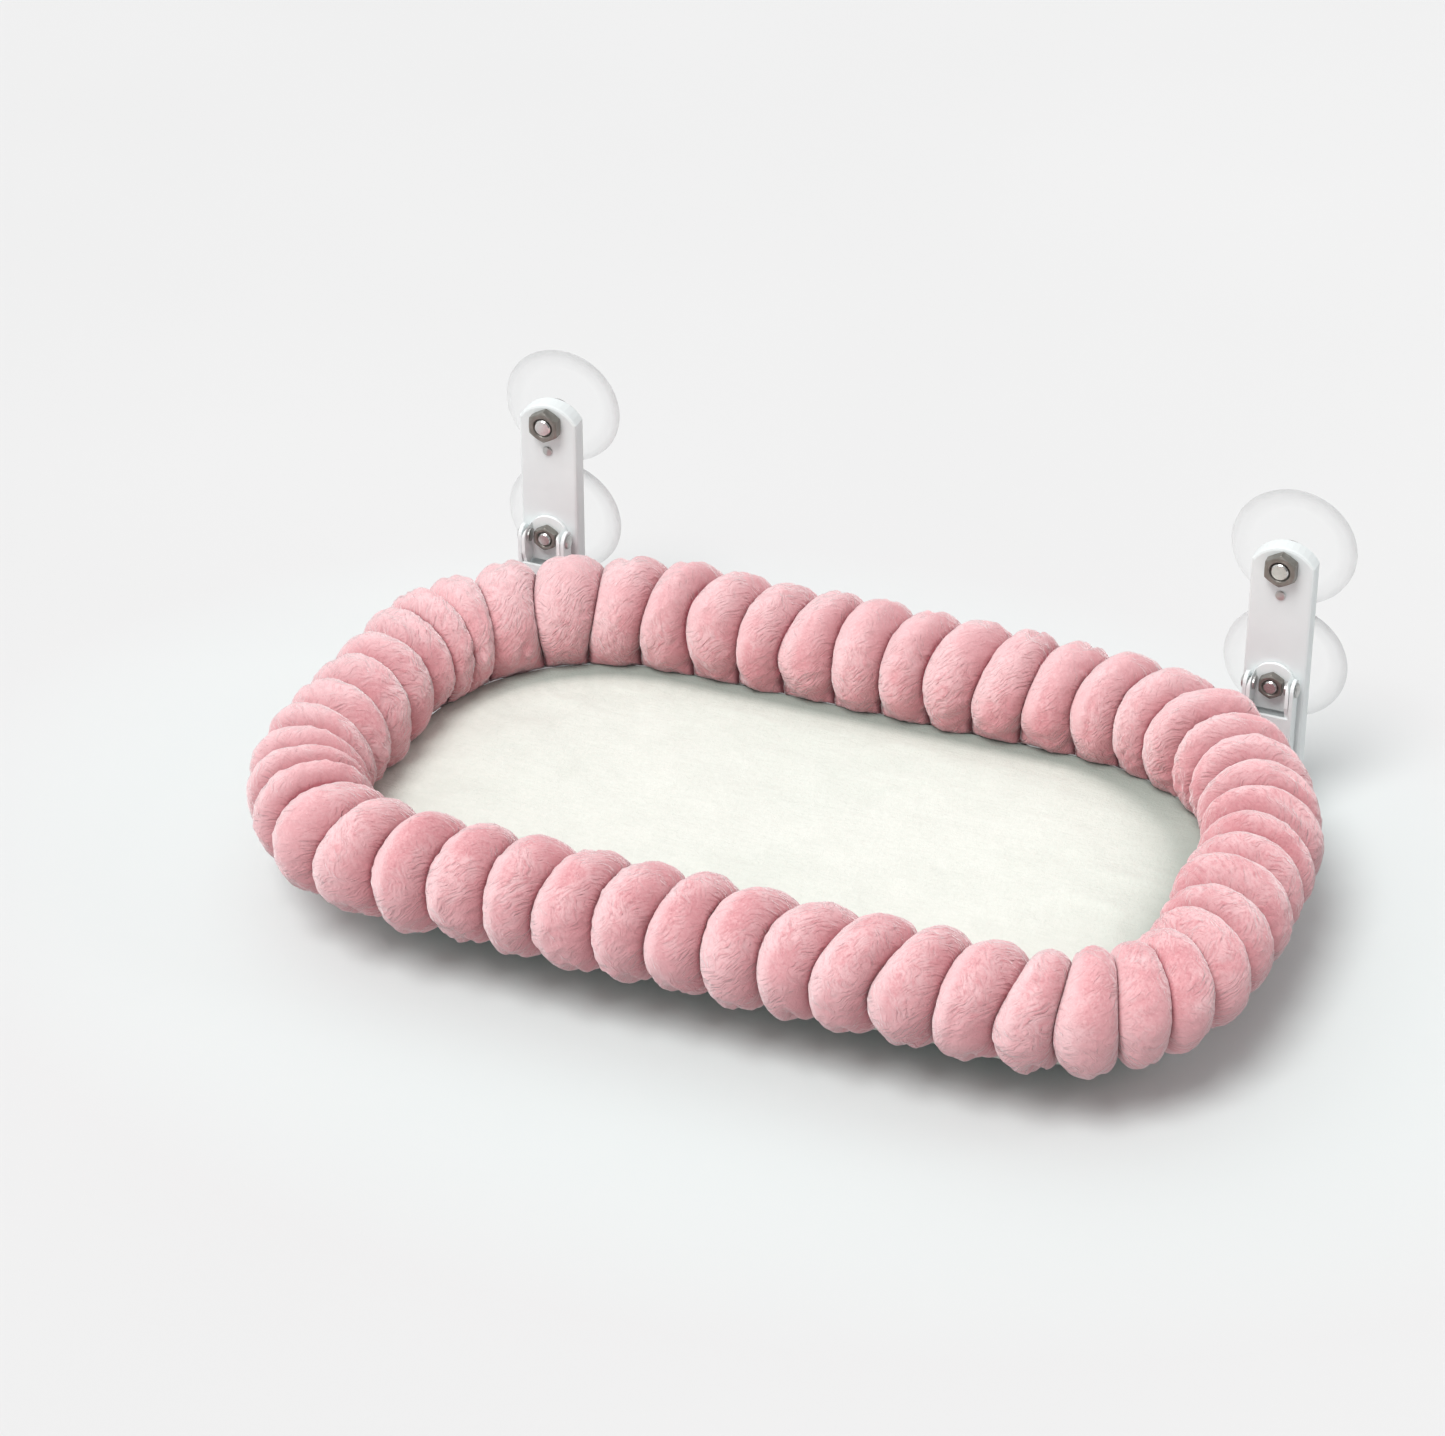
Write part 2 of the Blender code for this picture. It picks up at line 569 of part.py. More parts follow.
# ---- build -----------------------------------------------------------------------
made = {}
for side, tag in ((-1, "left"), (1, "right")):
    x = side * BRACKET_X
    upper_seat = PLATE_FRONT - GAP
    lower_seat = PLATE_FRONT - 2 * GAP - EAR_T
    group = [
        wall_plate("wall_plate_" + tag),
        suction_cup("upper_suction_cup_" + tag, 0.0, UPPER_STUD_R, 8.0),
        suction_cup("lower_suction_cup_" + tag, -CUP_PITCH, LOWER_STUD_R, 7.0),
        stud("upper_stud_" + tag, 0.0, UPPER_STUD_R, 8.0, upper_seat - UPPER_NUT_T - 0.6),
        stud("lower_stud_" + tag, -CUP_PITCH, LOWER_STUD_R, 7.0, lower_seat - LOWER_NUT_T - 0.6),
        nut("upper_nut_" + tag, 0.0, UPPER_NUT_AF, UPPER_NUT_T, upper_seat, UPPER_STUD_R + GAP),
        nut("lower_nut_" + tag, -CUP_PITCH, LOWER_NUT_AF, LOWER_NUT_T, lower_seat, LOWER_STUD_R + GAP),
        plate_rivet("plate_rivet_" + tag),
        hinge_bracket("hinge_bracket_" + tag),
        pivot_rivet("pivot_rivet_inner_" + tag, -side),
        pivot_rivet("pivot_rivet_outer_" + tag, side),
        arm("arm_" + tag, side),
        end_cap("arm_end_cap_" + tag),
        heel_bumper("heel_bumper_" + tag),
    ]
    for ob in group:
        made[ob.name] = shift(ob, x)
    for where, y in (("back", SADDLE_BACK_Y), ("front", SADDLE_FRONT_Y)):
        sx = side * ring_x(y)
        for ob in (saddle("ring_saddle_%s_%s" % (where, tag), sx, y),
                   saddle_screw("saddle_screw_%s_%s" % (where, tag), sx, y)):
            made[ob.name] = ob
    ob = ring_half("ring_half_" + tag, side)
    made[ob.name] = ob

RING_FRONT, RING_BACK = BED_FRONT + RING_INSET, BED_BACK - RING_INSET
for ob in (ring_joint("ring_joint_front", RING_FRONT), ring_joint("ring_joint_back", RING_BACK),
           sling(), mat_pad(), bolster_half("bolster_left", -1), bolster_half("bolster_right", 1),
           tie_strap("tie_strap_front_left", -110.0, RING_FRONT, 0, -1),
           tie_strap("tie_strap_front_right", 110.0, RING_FRONT, 0, -1),
           tie_strap("tie_strap_back_left", -80.0, RING_BACK, 0, 1),
           tie_strap("tie_strap_back_right", 80.0, RING_BACK, 0, 1)):
    made[ob.name] = ob

# every piece that folds with the bed has its origin on the hinge axis
FIXED = ("wall_plate", "upper_suction", "lower_suction", "upper_stud", "lower_stud",
         "upper_nut", "lower_nut", "plate_rivet", "hinge_bracket")
pivot = Vector((0, PIVOT_Y * MM, PIVOT_Z * MM))
fold_axis = bpy.data.objects.new("fold_axis", None)
fold_axis.location = pivot
bpy.context.scene.collection.objects.link(fold_axis)
for name, ob in made.items():
    if not name.startswith(FIXED):
        ob.data.transform(Matrix.Translation(-pivot))
        ob.parent = fold_axis
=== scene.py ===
import math

import bmesh
import bpy
import numpy as np
from mathutils import Matrix, Vector


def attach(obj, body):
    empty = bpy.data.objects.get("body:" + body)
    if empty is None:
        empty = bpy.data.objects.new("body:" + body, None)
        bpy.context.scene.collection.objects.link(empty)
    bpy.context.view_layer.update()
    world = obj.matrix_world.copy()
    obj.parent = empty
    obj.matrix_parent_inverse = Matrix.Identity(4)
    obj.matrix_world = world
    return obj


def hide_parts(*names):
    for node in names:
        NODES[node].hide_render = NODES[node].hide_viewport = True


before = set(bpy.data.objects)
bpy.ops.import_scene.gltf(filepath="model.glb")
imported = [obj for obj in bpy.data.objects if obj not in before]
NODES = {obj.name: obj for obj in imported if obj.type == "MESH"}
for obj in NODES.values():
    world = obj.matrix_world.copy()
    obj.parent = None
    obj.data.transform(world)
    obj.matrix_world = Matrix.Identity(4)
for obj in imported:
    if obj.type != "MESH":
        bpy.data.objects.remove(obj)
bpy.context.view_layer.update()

MM = 0.001
rng = np.random.default_rng(7)

# ---- sizes in millimetres, the same as in the CAD ------------------------------
BRACKET_X = 215.0
CUP_PITCH = 72.0
CUP_R = 35.0
PLATE_W = 35.0
PLATE_FRONT = -23.0
PLATE_T = 2.0
PLATE_DEPTH = 10.0
PLATE_TOP = 11.0
PLATE_BOTTOM = -152.0
PLATE_ARC = 20.5
PIVOT_Y, PIVOT_Z = -30.0, -71.0
BED_X, BED_BACK, BED_FRONT = 248.0, -48.0, -333.0
R_BACK, R_FRONT = 125.0, 82.0
BOLSTER_Z = -93.0
PLUSH_R = 32.2            # bolster's radius over its pile
RING_X, RING_INSET, RING_Z, RING_R = 222.0, 20.0, -130.0, 8.0
SLEEVE_R = 10.0
DECK_TOP = -127.2
MAT_TOP = -118.2
SADDLE_Y = (-163.0, -247.0)
FLOOR_Z = -156.0


# ---- noise on a lattice -----------------------------------------------------------
def lattice(ix, iy, iz, seed):
    h = (ix * 374761393 + iy * 668265263 + iz * 1442695041 + seed * 974634777) & 0xFFFFFFFF
    h = ((h ^ (h >> 13)) * 1274126177) & 0xFFFFFFFF
    h = ((h ^ (h >> 15)) * 2246822519) & 0xFFFFFFFF
    return ((h ^ (h >> 16)) & 0xFFFFF) / float(0xFFFFF) * 2.0 - 1.0


def noise3(u, v, w, seed=0, wrap=0):
    """Smooth value noise from -1 to 1. With wrap, u repeats after wrap cells."""
    fu, fv, fw = np.floor(u), np.floor(v), np.floor(w)
    tu, tv, tw = u - fu, v - fv, w - fw
    tu, tv, tw = (t * t * t * (t * (t * 6 - 15) + 10) for t in (tu, tv, tw))
    iu, iv, iw = fu.astype(np.int64), fv.astype(np.int64), fw.astype(np.int64)
    out = 0.0
    for a in (0, 1):
        ia = (iu + a) % wrap if wrap else iu + a
        wa = tu if a else 1 - tu
        for b in (0, 1):
            wb = tv if b else 1 - tv
            for c in (0, 1):
                wc = tw if c else 1 - tw
                out = out + wa * wb * wc * lattice(ia, iv + b, iw + c, seed)
    return out


def smoothstep(lo, hi, x):
    t = np.clip((x - lo) / (hi - lo), 0.0, 1.0)
    return t * t * (3 - 2 * t)


# ---- mesh helpers --------------------------------------------------------------------
def mesh_object(name, verts, faces, smooth=True):
    me = bpy.data.meshes.new(name)
    me.from_pydata([tuple(v) for v in verts], [], [tuple(f) for f in faces])
    me.update()
    if smooth:
        me.shade_smooth()
    ob = bpy.data.objects.new(name, me)
    bpy.context.scene.collection.objects.link(ob)
    return ob


def grid_faces(n, m, wrap_n=True, wrap_m=True):
    """Quads of an n by m grid of points, n outer and m inner."""
    i = np.arange(n if wrap_n else n - 1)
    k = np.arange(m if wrap_m else m - 1)
    i, k = np.meshgrid(i, k, indexing="ij")
    a = i * m + k
    b = ((i + 1) % n) * m + k
    c = ((i + 1) % n) * m + (k + 1) % m
    d = i * m + (k + 1) % m
    return np.stack([a, b, c, d], axis=-1).reshape(-1, 4)


def bm_object(name, bm, angle=35.0):
    bmesh.ops.recalc_face_normals(bm, faces=bm.faces[:])
    me = bpy.data.meshes.new(name)
    bm.to_mesh(me)
    bm.free()
    me.shade_smooth()
    me.set_sharp_from_angle(angle=math.radians(angle))
    ob = bpy.data.objects.new(name, me)
    bpy.context.scene.collection.objects.link(ob)
    return ob


def turned(name, profile, origin, axis, steps, angle=35.0):
    """A turned solid from a closed loop of (radius, height) in mm about axis."""
    bm = bmesh.new()
    rings = []
    for r, h in profile:
        ring = []
        for k in range(1 if r < 1e-9 else steps):
            a = 2 * math.pi * k / steps
            u, v = r * math.cos(a), r * math.sin(a)
            p = {"x": (h, u, v), "y": (u, h, v), "z": (u, v, h)}[axis]
            ring.append(bm.verts.new([(p[i] + origin[i]) * MM for i in range(3)]))
        rings.append(ring)
    for i in range(len(rings)):
        a, b = rings[i], rings[(i + 1) % len(rings)]
        if len(a) == 1 and len(b) == 1:
            continue
        for k in range(steps):
            q = (k + 1) % steps
            if len(a) == 1:
                bm.faces.new((a[0], b[q], b[k]))
            elif len(b) == 1:
                bm.faces.new((a[k], a[q], b[0]))
            else:
                bm.faces.new((a[k], a[q], b[q], b[k]))
    return bm_object(name, bm, angle)


def arc(cx, cy, r, a0, a1, n):
    return [(cx + r * math.cos(math.radians(a0 + (a1 - a0) * i / n)),
             cy + r * math.sin(math.radians(a0 + (a1 - a0) * i / n))) for i in range(n + 1)]


# ---- the bed's outline ------------------------------------------------------------------
def outline(half, back, front, rb, rf, step=0.5):
    """Dense outline from the middle of the front, anticlockwise from above:
    points, outward normals and arc length."""
    pts, nrm = [], []

    def line(p, q, n):
        c = max(2, int(math.dist(p, q) / step))
        for i in range(c):
            t = i / c
            pts.append((p[0] + (q[0] - p[0]) * t, p[1] + (q[1] - p[1]) * t))
            nrm.append(n)

    def bend(cx, cy, r, a0):
        c = max(2, int(r * math.pi / 2 / step))
        for i in range(c):
            a = math.radians(a0 + 90.0 * i / c)
            pts.append((cx + r * math.cos(a), cy + r * math.sin(a)))
            nrm.append((math.cos(a), math.sin(a)))

    line((0, front), (half - rf, front), (0, -1))
    bend(half - rf, front + rf, rf, -90)
    line((half, front + rf), (half, back - rb), (1, 0))
    bend(half - rb, back - rb, rb, 0)
    line((half - rb, back), (-half + rb, back), (0, 1))
    bend(-half + rb, back - rb, rb, 90)
    line((-half, back - rb), (-half, front + rf), (-1, 0))
    bend(-half + rf, front + rf, rf, 180)
    line((-half + rf, front), (0, front), (0, -1))
    pts, nrm = np.array(pts, float), np.array(nrm, float)
    gap = np.linalg.norm(np.roll(pts, -1, 0) - pts, axis=1)
    s = np.concatenate([[0.0], np.cumsum(gap)])
    return pts, nrm, s


class Track:
    """A closed outline that can be read at any arc length."""

    def __init__(self, half, back, front, rb, rf):
        pts, nrm, s = outline(half, back, front, rb, rf)
        self.s, self.length = s, s[-1]
        self.pts = np.vstack([pts, pts[:1]])
        self.nrm = np.vstack([nrm, nrm[:1]])

    def at(self, s):
        s = np.mod(s, self.length)
        x = np.interp(s, self.s, self.pts[:, 0])
        y = np.interp(s, self.s, self.pts[:, 1])
        nx = np.interp(s, self.s, self.nrm[:, 0])
        ny = np.interp(s, self.s, self.nrm[:, 1])
        k = np.hypot(nx, ny)
        return x, y, nx / k, ny / k


bed = Track(BED_X, BED_BACK, BED_FRONT, R_BACK, R_FRONT)
ring = Track(RING_X, BED_BACK - RING_INSET, BED_FRONT + RING_INSET,
             R_BACK - RING_INSET, R_FRONT - RING_INSET)


# ---- node material helpers -----------------------------------------------------------------
class Mat:
    """Builds one procedural material."""

    def __init__(self, name):
        self.m = bpy.data.materials.new(name)
        self.m.use_nodes = True
        self.t = self.m.node_tree
        self.t.nodes.clear()
        self.out = self.t.nodes.new("ShaderNodeOutputMaterial")
        self.b = self.t.nodes.new("ShaderNodeBsdfPrincipled")
        self.link(self.b.outputs[0], self.out.inputs[0])
        self.coord = self.t.nodes.new("ShaderNodeTexCoord").outputs["Object"]

    def link(self, a, b):
        self.t.links.new(a, b)

    def put(self, socket, value):
        if isinstance(value, bpy.types.NodeSocket):
            self.link(value, socket)
        elif isinstance(value, (tuple, list)) and len(value) == 3 and socket.type == "RGBA":
            socket.default_value = (*value, 1.0)
        else:
            socket.default_value = value

    def set(self, **values):
        for k, v in values.items():
            self.put(self.b.inputs[k.replace("_", " ")], v)
        return self

    def mapping(self, scale=(1, 1, 1), rotation=(0, 0, 0), source=None):
        n = self.t.nodes.new("ShaderNodeMapping")
        self.link(source or self.coord, n.inputs["Vector"])
        n.inputs["Scale"].default_value = scale
        n.inputs["Rotation"].default_value = rotation
        return n.outputs[0]

    def noise(self, scale, detail=3.0, rough=0.5, distortion=0.0, vector=None):
        n = self.t.nodes.new("ShaderNodeTexNoise")
        self.link(vector or self.coord, n.inputs["Vector"])
        n.inputs["Scale"].default_value = scale
        n.inputs["Detail"].default_value = detail
        n.inputs["Roughness"].default_value = rough
        n.inputs["Distortion"].default_value = distortion
        return n.outputs["Fac"]

    def voronoi(self, scale, feature="F1", vector=None, output="Distance"):
        n = self.t.nodes.new("ShaderNodeTexVoronoi")
        n.feature = feature
        self.link(vector or self.coord, n.inputs["Vector"])
        n.inputs["Scale"].default_value = scale
        return n.outputs[output]

    def wave(self, scale, direction="X", distortion=0.0, vector=None, detail=1.0):
        n = self.t.nodes.new("ShaderNodeTexWave")
        n.bands_direction = direction
        self.link(vector or self.coord, n.inputs["Vector"])
        n.inputs["Scale"].default_value = scale
        n.inputs["Distortion"].default_value = distortion
        n.inputs["Detail"].default_value = detail
        return n.outputs["Fac"]

    def ramp(self, value, lo, hi, a=0.0, b=1.0):
        n = self.t.nodes.new("ShaderNodeMapRange")
        n.clamp = True
        self.put(n.inputs["Value"], value)
        n.inputs["From Min"].default_value = lo
        n.inputs["From Max"].default_value = hi
        n.inputs["To Min"].default_value = a
        n.inputs["To Max"].default_value = b
        return n.outputs[0]

    def math(self, op, a, b=0.0):
        n = self.t.nodes.new("ShaderNodeMath")
        n.operation = op
        self.put(n.inputs[0], a)
        self.put(n.inputs[1], b)
        return n.outputs[0]

    def mix(self, fac, a, b, blend="MIX"):
        n = self.t.nodes.new("ShaderNodeMix")
        n.data_type = "RGBA"
        n.blend_type = blend
        self.put(n.inputs["Factor"], fac)
        self.put(n.inputs[6], a)
        self.put(n.inputs[7], b)
        return n.outputs[2]

    def shift(self, vector, scale, amount):
        """The vector, pushed about by up to amount by a coarse noise."""
        n = self.t.nodes.new("ShaderNodeTexNoise")
        n.inputs["Scale"].default_value = scale
        n.inputs["Detail"].default_value = 1.0
        self.link(vector, n.inputs["Vector"])
        m = self.t.nodes.new("ShaderNodeVectorMath")
        m.operation = "MULTIPLY_ADD"
        self.link(n.outputs["Color"], m.inputs[0])
        m.inputs[1].default_value = (2 * amount,) * 3
        self.link(vector, m.inputs[2])
        return m.outputs[0]

    def strokes(self, vector, angle, long, gap, detail=1.5):
        """Streaky noise: streaks long by gap metres, turned by angle."""
        turned_by = self.mapping((1, 1, 1), (0, 0, -angle), vector)
        return self.noise(1.0, detail, 0.5, 0.0, self.mapping((1.0 / long, 1.0 / gap, 60.0), (0, 0, 0), turned_by))

    def ridge(self, value, sharp):
        """Thin lines where a noise crosses its middle value."""
        d = self.math("ABSOLUTE", self.math("SUBTRACT", value, 0.5))
        return self.math("SUBTRACT", 1.0, self.math("MINIMUM", self.math("MULTIPLY", d, sharp), 1.0))

    def attribute(self, name):
        n = self.t.nodes.new("ShaderNodeAttribute")
        n.attribute_name = name
        return n.outputs["Fac"]

    def bump(self, height, distance, strength=1.0, normal=None):
        n = self.t.nodes.new("ShaderNodeBump")
        n.inputs["Strength"].default_value = strength
        n.inputs["Distance"].default_value = distance
        self.put(n.inputs["Height"], height)
        if normal:
            self.link(normal, n.inputs["Normal"])
        return n.outputs[0]

    def ao(self, distance, inside=False):
        n = self.t.nodes.new("ShaderNodeAmbientOcclusion")
        n.samples = 4
        n.inputs["Distance"].default_value = distance
        n.inside = inside
        return n.outputs["AO"]


# ---- materials ----------------------------------------------------------------------------------
def pink_plush():
    """Velvet plush: pile that leans in patches, with short curling strokes, and painted highlights and shade in its
    colour.
    """
    k = Mat("pink_plush")
    lay = k.t.nodes.new("ShaderNodeAttribute")
    lay.attribute_name = "lay"
    lay = lay.outputs["Vector"]
    depth = k.attribute("crown")          # 0 in a crease, 1 on a rib's crown; painted shade fills the creases
    fold = k.attribute("fold")            # height of the modelled folds; painted shade lies in their valleys
    under = k.attribute("under")          # 0 on top, 1 low on the outer side, where painted shade darkens and greys it
    painted_flank_shade = k.attribute("painted_flank_shade")              # 1 on the flank that faces right and front, where painted shade darkens it
    inner = k.attribute("inner")          # 1 low on the side of the mat, where painted shade darkens it
    painted_highlight = k.attribute("painted_highlight")              # 1 on the flank that faces left and back and on the crests, where a paler painted highlight lies
    lean = k.noise(70.0, 3.0, 0.55, 0.5)  # where the pile leans another way
    drift = k.shift(lay, 95.0, 0.0030)
    curl = k.shift(lay, 130.0, 0.0034)
    across = k.strokes(drift, 0.80, 0.0058, 0.0014)
    along = k.strokes(curl, -1.15, 0.0055, 0.0015)
    where = k.ramp(k.noise(55.0, 2.0, 0.5), 0.47, 0.60)
    streak = k.math("ADD", k.math("MULTIPLY", across, k.math("SUBTRACT", 1.0, where)),
                    k.math("MULTIPLY", along, where))
    line = k.math("ADD", k.math("MULTIPLY", k.ridge(across, 4.0), k.math("SUBTRACT", 1.0, where)),
                  k.math("MULTIPLY", k.ridge(along, 4.0), where))
    patch = k.ramp(k.noise(38.0, 2.0, 0.5), 0.34, 0.54, 0.35, 1.0)
    stroke = k.math("MULTIPLY", k.math("ADD", k.math("MULTIPLY", streak, 1.3), k.math("MULTIPLY", line, 0.10)), patch)
    tuft = k.noise(700.0, 3.0, 0.62, 0.5)
    pile = k.noise(1900.0, 2.0, 0.55)
    crown = k.mix(k.ramp(lean, 0.34, 0.68), (0.796, 0.414, 0.442), (0.860, 0.494, 0.520))
    # painted shade in the valleys of the modelled folds
    crown = k.mix(k.ramp(fold, -0.8, 0.5, 0.26, 0.0), crown, (0.66, 0.245, 0.280))
    # painted highlights on the strokes and tufts, painted shade between them
    crown = k.mix(k.ramp(stroke, 0.48, 1.00, 0.0, 0.66), crown, (0.960, 0.755, 0.770))
    crown = k.mix(k.ramp(stroke, 0.58, 0.25, 0.0, 0.20), crown, (0.70, 0.28, 0.32))
    crown = k.mix(k.ramp(tuft, 0.50, 0.66, 0.0, 0.36), crown, (0.955, 0.700, 0.715))
    crown = k.mix(k.ramp(tuft, 0.45, 0.33, 0.0, 0.42), crown, (0.600, 0.225, 0.262))
    # painted shade low on the outer side, darker and greyer
    crown = k.mix(k.math("MULTIPLY", under, 0.90), crown, (0.650, 0.362, 0.386))
    # paler painted highlight on the flank that faces left and back and on the crests
    crown = k.mix(k.math("MULTIPLY", painted_highlight, 0.58), crown, (0.945, 0.695, 0.715))
    # painted shade low on the side of the mat
    crown = k.mix(k.math("MULTIPLY", inner, 0.52), crown, (0.640, 0.230, 0.262))
    # painted shade on the flank that faces right and front
    crown = k.mix(k.math("MULTIPLY", painted_flank_shade, 0.80), crown, (0.560, 0.245, 0.270))
    # painted shade in the creases
    base = k.mix(k.ramp(depth, 0.02, 0.42), (0.500, 0.130, 0.165), crown)
    # near-black painted shadow where the ribs meet the mat
    base = k.mix(k.attribute("gap"), base, (0.120, 0.035, 0.042))
    k.set(Base_Color=base, Roughness=0.95, Specular_IOR_Level=0.10, Diffuse_Roughness=0.6,
          Sheen_Weight=0.95, Sheen_Roughness=0.34, Sheen_Tint=(1.0, 0.95, 0.955))
    n = k.bump(lean, 0.004, 0.30)
    n = k.bump(stroke, 0.0019, 0.80, n)
    n = k.bump(tuft, 0.0009, 0.55, n)
    n = k.bump(pile, 0.0003, 0.30, n)
    k.set(Normal=n)
    return k.m


def cream_plush():
    k = Mat("cream_plush")
    patch = k.noise(38.0, 3.0, 0.55, 0.5)
    tuft = k.noise(330.0, 4.0, 0.65, 0.5)
    pile = k.noise(1900.0, 2.0, 0.6)
    weft = k.noise(1.0, 2.0, 0.5, 0.0, k.mapping((150.0, 620.0, 300.0)))
    warp = k.noise(1.0, 2.0, 0.5, 0.0, k.mapping((620.0, 150.0, 300.0)))
    grain = k.math("MULTIPLY", k.math("ADD", weft, warp), 0.5)
    c = k.mix(k.ramp(patch, 0.36, 0.66), (0.796, 0.814, 0.758), (0.836, 0.852, 0.796))
    c = k.mix(k.ramp(tuft, 0.40, 0.68, 0.0, 0.30), c, (0.885, 0.905, 0.850))
    c = k.mix(k.ramp(grain, 0.54, 0.40, 0.0, 0.22), c, (0.740, 0.765, 0.700))
    # greener tint near the bolster, painted against its pink bounce light
    c = k.mix(k.attribute("edge"), c, k.mix(1.0, c, (0.910, 0.968, 0.950), "MULTIPLY"))
    # painted shade along the bolster, strongest at the back and the right end
    c = k.mix(k.attribute("rim"), c, (0.330, 0.392, 0.352))
    k.set(Base_Color=c, Roughness=0.93, Specular_IOR_Level=0.15,
          Sheen_Weight=0.18, Sheen_Roughness=0.5, Sheen_Tint=(1.0, 1.0, 0.97))
    n = k.bump(patch, 0.003, 0.25)
    n = k.bump(tuft, 0.0008, 0.55, n)
    n = k.bump(grain, 0.0009, 0.5, n)
    n = k.bump(pile, 0.00035, 0.5, n)
    k.set(Normal=n)
    return k.m


def powder_coat(name="white_powder_coat", dark=(0.800, 0.838, 0.842), light=(0.823, 0.862, 0.866)):
    k = Mat(name)
    peel = k.noise(900.0, 2.0, 0.55)
    speck = k.noise(3500.0, 1.0, 0.5)
    tone = k.noise(45.0, 3.0, 0.5)
    c = k.mix(k.ramp(tone, 0.35, 0.7), dark, light)
    k.set(Base_Color=c, Roughness=k.ramp(speck, 0.3, 0.7, 0.40, 0.52), Specular_IOR_Level=0.30)
    n = k.bump(peel, 0.00012, 0.45)
    n = k.bump(speck, 0.00004, 0.4, n)
    k.set(Normal=n)
    return k.m


def steel(name, dark, light, rough, metal=1.0):
    k = Mat(name)
    tone = k.noise(160.0, 4.0, 0.6)
    turn = k.noise(1800.0, 2.0, 0.6)
    c = k.mix(k.ramp(tone, 0.35, 0.7), dark, light)
    k.set(Base_Color=c, Metallic=metal, Roughness=k.ramp(turn, 0.3, 0.7, rough - 0.06, rough + 0.08))
    k.set(Normal=k.bump(turn, 0.00003, 0.4))
    return k.m


def rubber():
    k = Mat("grey_rubber")
    g = k.noise(1500.0, 3.0, 0.6)
    c = k.mix(k.ramp(g, 0.3, 0.7), (0.055, 0.055, 0.058), (0.085, 0.085, 0.088))
    k.set(Base_Color=c, Roughness=k.ramp(g, 0.3, 0.7, 0.62, 0.82), Specular_IOR_Level=0.35)
    k.set(Normal=k.bump(g, 0.00008, 0.5))
    return k.m


def white_plastic():
    k = Mat("white_plastic")
    g = k.noise(1100.0, 3.0, 0.55)
    c = k.mix(k.ramp(g, 0.3, 0.7), (0.74, 0.74, 0.735), (0.79, 0.79, 0.785))
    k.set(Base_Color=c, Roughness=k.ramp(g, 0.3, 0.7, 0.38, 0.52))
    k.set(Normal=k.bump(g, 0.00006, 0.4))
    return k.m


def cloth(name, dark, light, thread=0.0011, sheen=0.15):
    """Plain weave from two crossed sets of threads, laid by object coordinates."""
    k = Mat(name)
    wa = k.wave(1.0 / thread / 2.0, "X", 0.35)
    wb = k.wave(1.0 / thread / 2.0, "Y", 0.35)
    over = k.math("MAXIMUM", wa, wb)
    under = k.math("MULTIPLY", wa, wb)
    weave = k.math("ADD", k.math("MULTIPLY", over, 0.7), k.math("MULTIPLY", under, 0.3))
    slub = k.noise(240.0, 3.0, 0.6)
    c = k.mix(k.ramp(weave, 0.25, 0.95), dark, light)
    c = k.mix(k.ramp(slub, 0.4, 0.75, 0.0, 0.3), c, dark)
    k.set(Base_Color=c, Roughness=0.88, Specular_IOR_Level=0.2, Sheen_Weight=sheen,
          Sheen_Roughness=0.5)
    k.set(Normal=k.bump(weave, 0.00035, 0.8, k.bump(slub, 0.0004, 0.3)))
    return k.m


def clear_pvc():
    """Clear soft plastic: nearly invisible face on, greyer where it is seen along."""
    k = Mat("clear_pvc")
    haze = k.noise(90.0, 3.0, 0.5)
    k.set(Base_Color=k.mix(k.ramp(haze, 0.3, 0.7), (0.52, 0.53, 0.54), (0.60, 0.61, 0.62)),
          Roughness=0.08, Specular_IOR_Level=0.5)
    k.set(Normal=k.bump(haze, 0.0005, 0.12))
    clear = k.t.nodes.new("ShaderNodeBsdfTransparent")
    clear.inputs[0].default_value = (0.997, 0.998, 0.998, 1.0)
    edge = k.t.nodes.new("ShaderNodeLayerWeight")
    edge.inputs["Blend"].default_value = 0.30
    along = k.math("POWER", k.ramp(edge.outputs["Facing"], 0.20, 0.98), 2.2)
    along = k.ramp(along, 0.0, 1.0, 0.004, 0.38)
    # grey outline on the bead from the rim attribute: painted shade
    fac = k.math("MAXIMUM", along, k.math("MULTIPLY", k.attribute("rim"), 0.34))
    mixer = k.t.nodes.new("ShaderNodeMixShader")
    k.link(fac, mixer.inputs[0])
    k.link(clear.outputs[0], mixer.inputs[1])
    k.link(k.b.outputs[0], mixer.inputs[2])
    k.link(mixer.outputs[0], k.out.inputs[0])
    return k.m


M_PINK, M_CREAM, M_COAT = pink_plush(), cream_plush(), powder_coat()
# lighter copy of the powder coat for the hinge brackets: painted light against their shade
M_COAT_PAINTED_LIGHT = powder_coat("white_powder_coat_bracket", (0.900, 0.935, 0.938), (0.925, 0.960, 0.962))
M_DARK = steel("dark_steel", (0.225, 0.212, 0.192), (0.34, 0.325, 0.298), 0.38, 0.85)
M_BRIGHT = steel("bright_steel", (0.62, 0.61, 0.60), (0.74, 0.73, 0.72), 0.22)
M_ZINC = steel("zinc_steel", (0.50, 0.50, 0.49), (0.62, 0.62, 0.61), 0.34)
M_RUBBER, M_PLASTIC, M_PVC = rubber(), white_plastic(), clear_pvc()
M_SLING = cloth("sling_cloth", (0.56, 0.545, 0.51), (0.70, 0.685, 0.65))
M_WEB = cloth("strap_web", (0.52, 0.50, 0.48), (0.70, 0.68, 0.65), 0.0016)


def paint(ob, mat):
    ob.data.materials.clear()
    ob.data.materials.append(mat)
    return ob


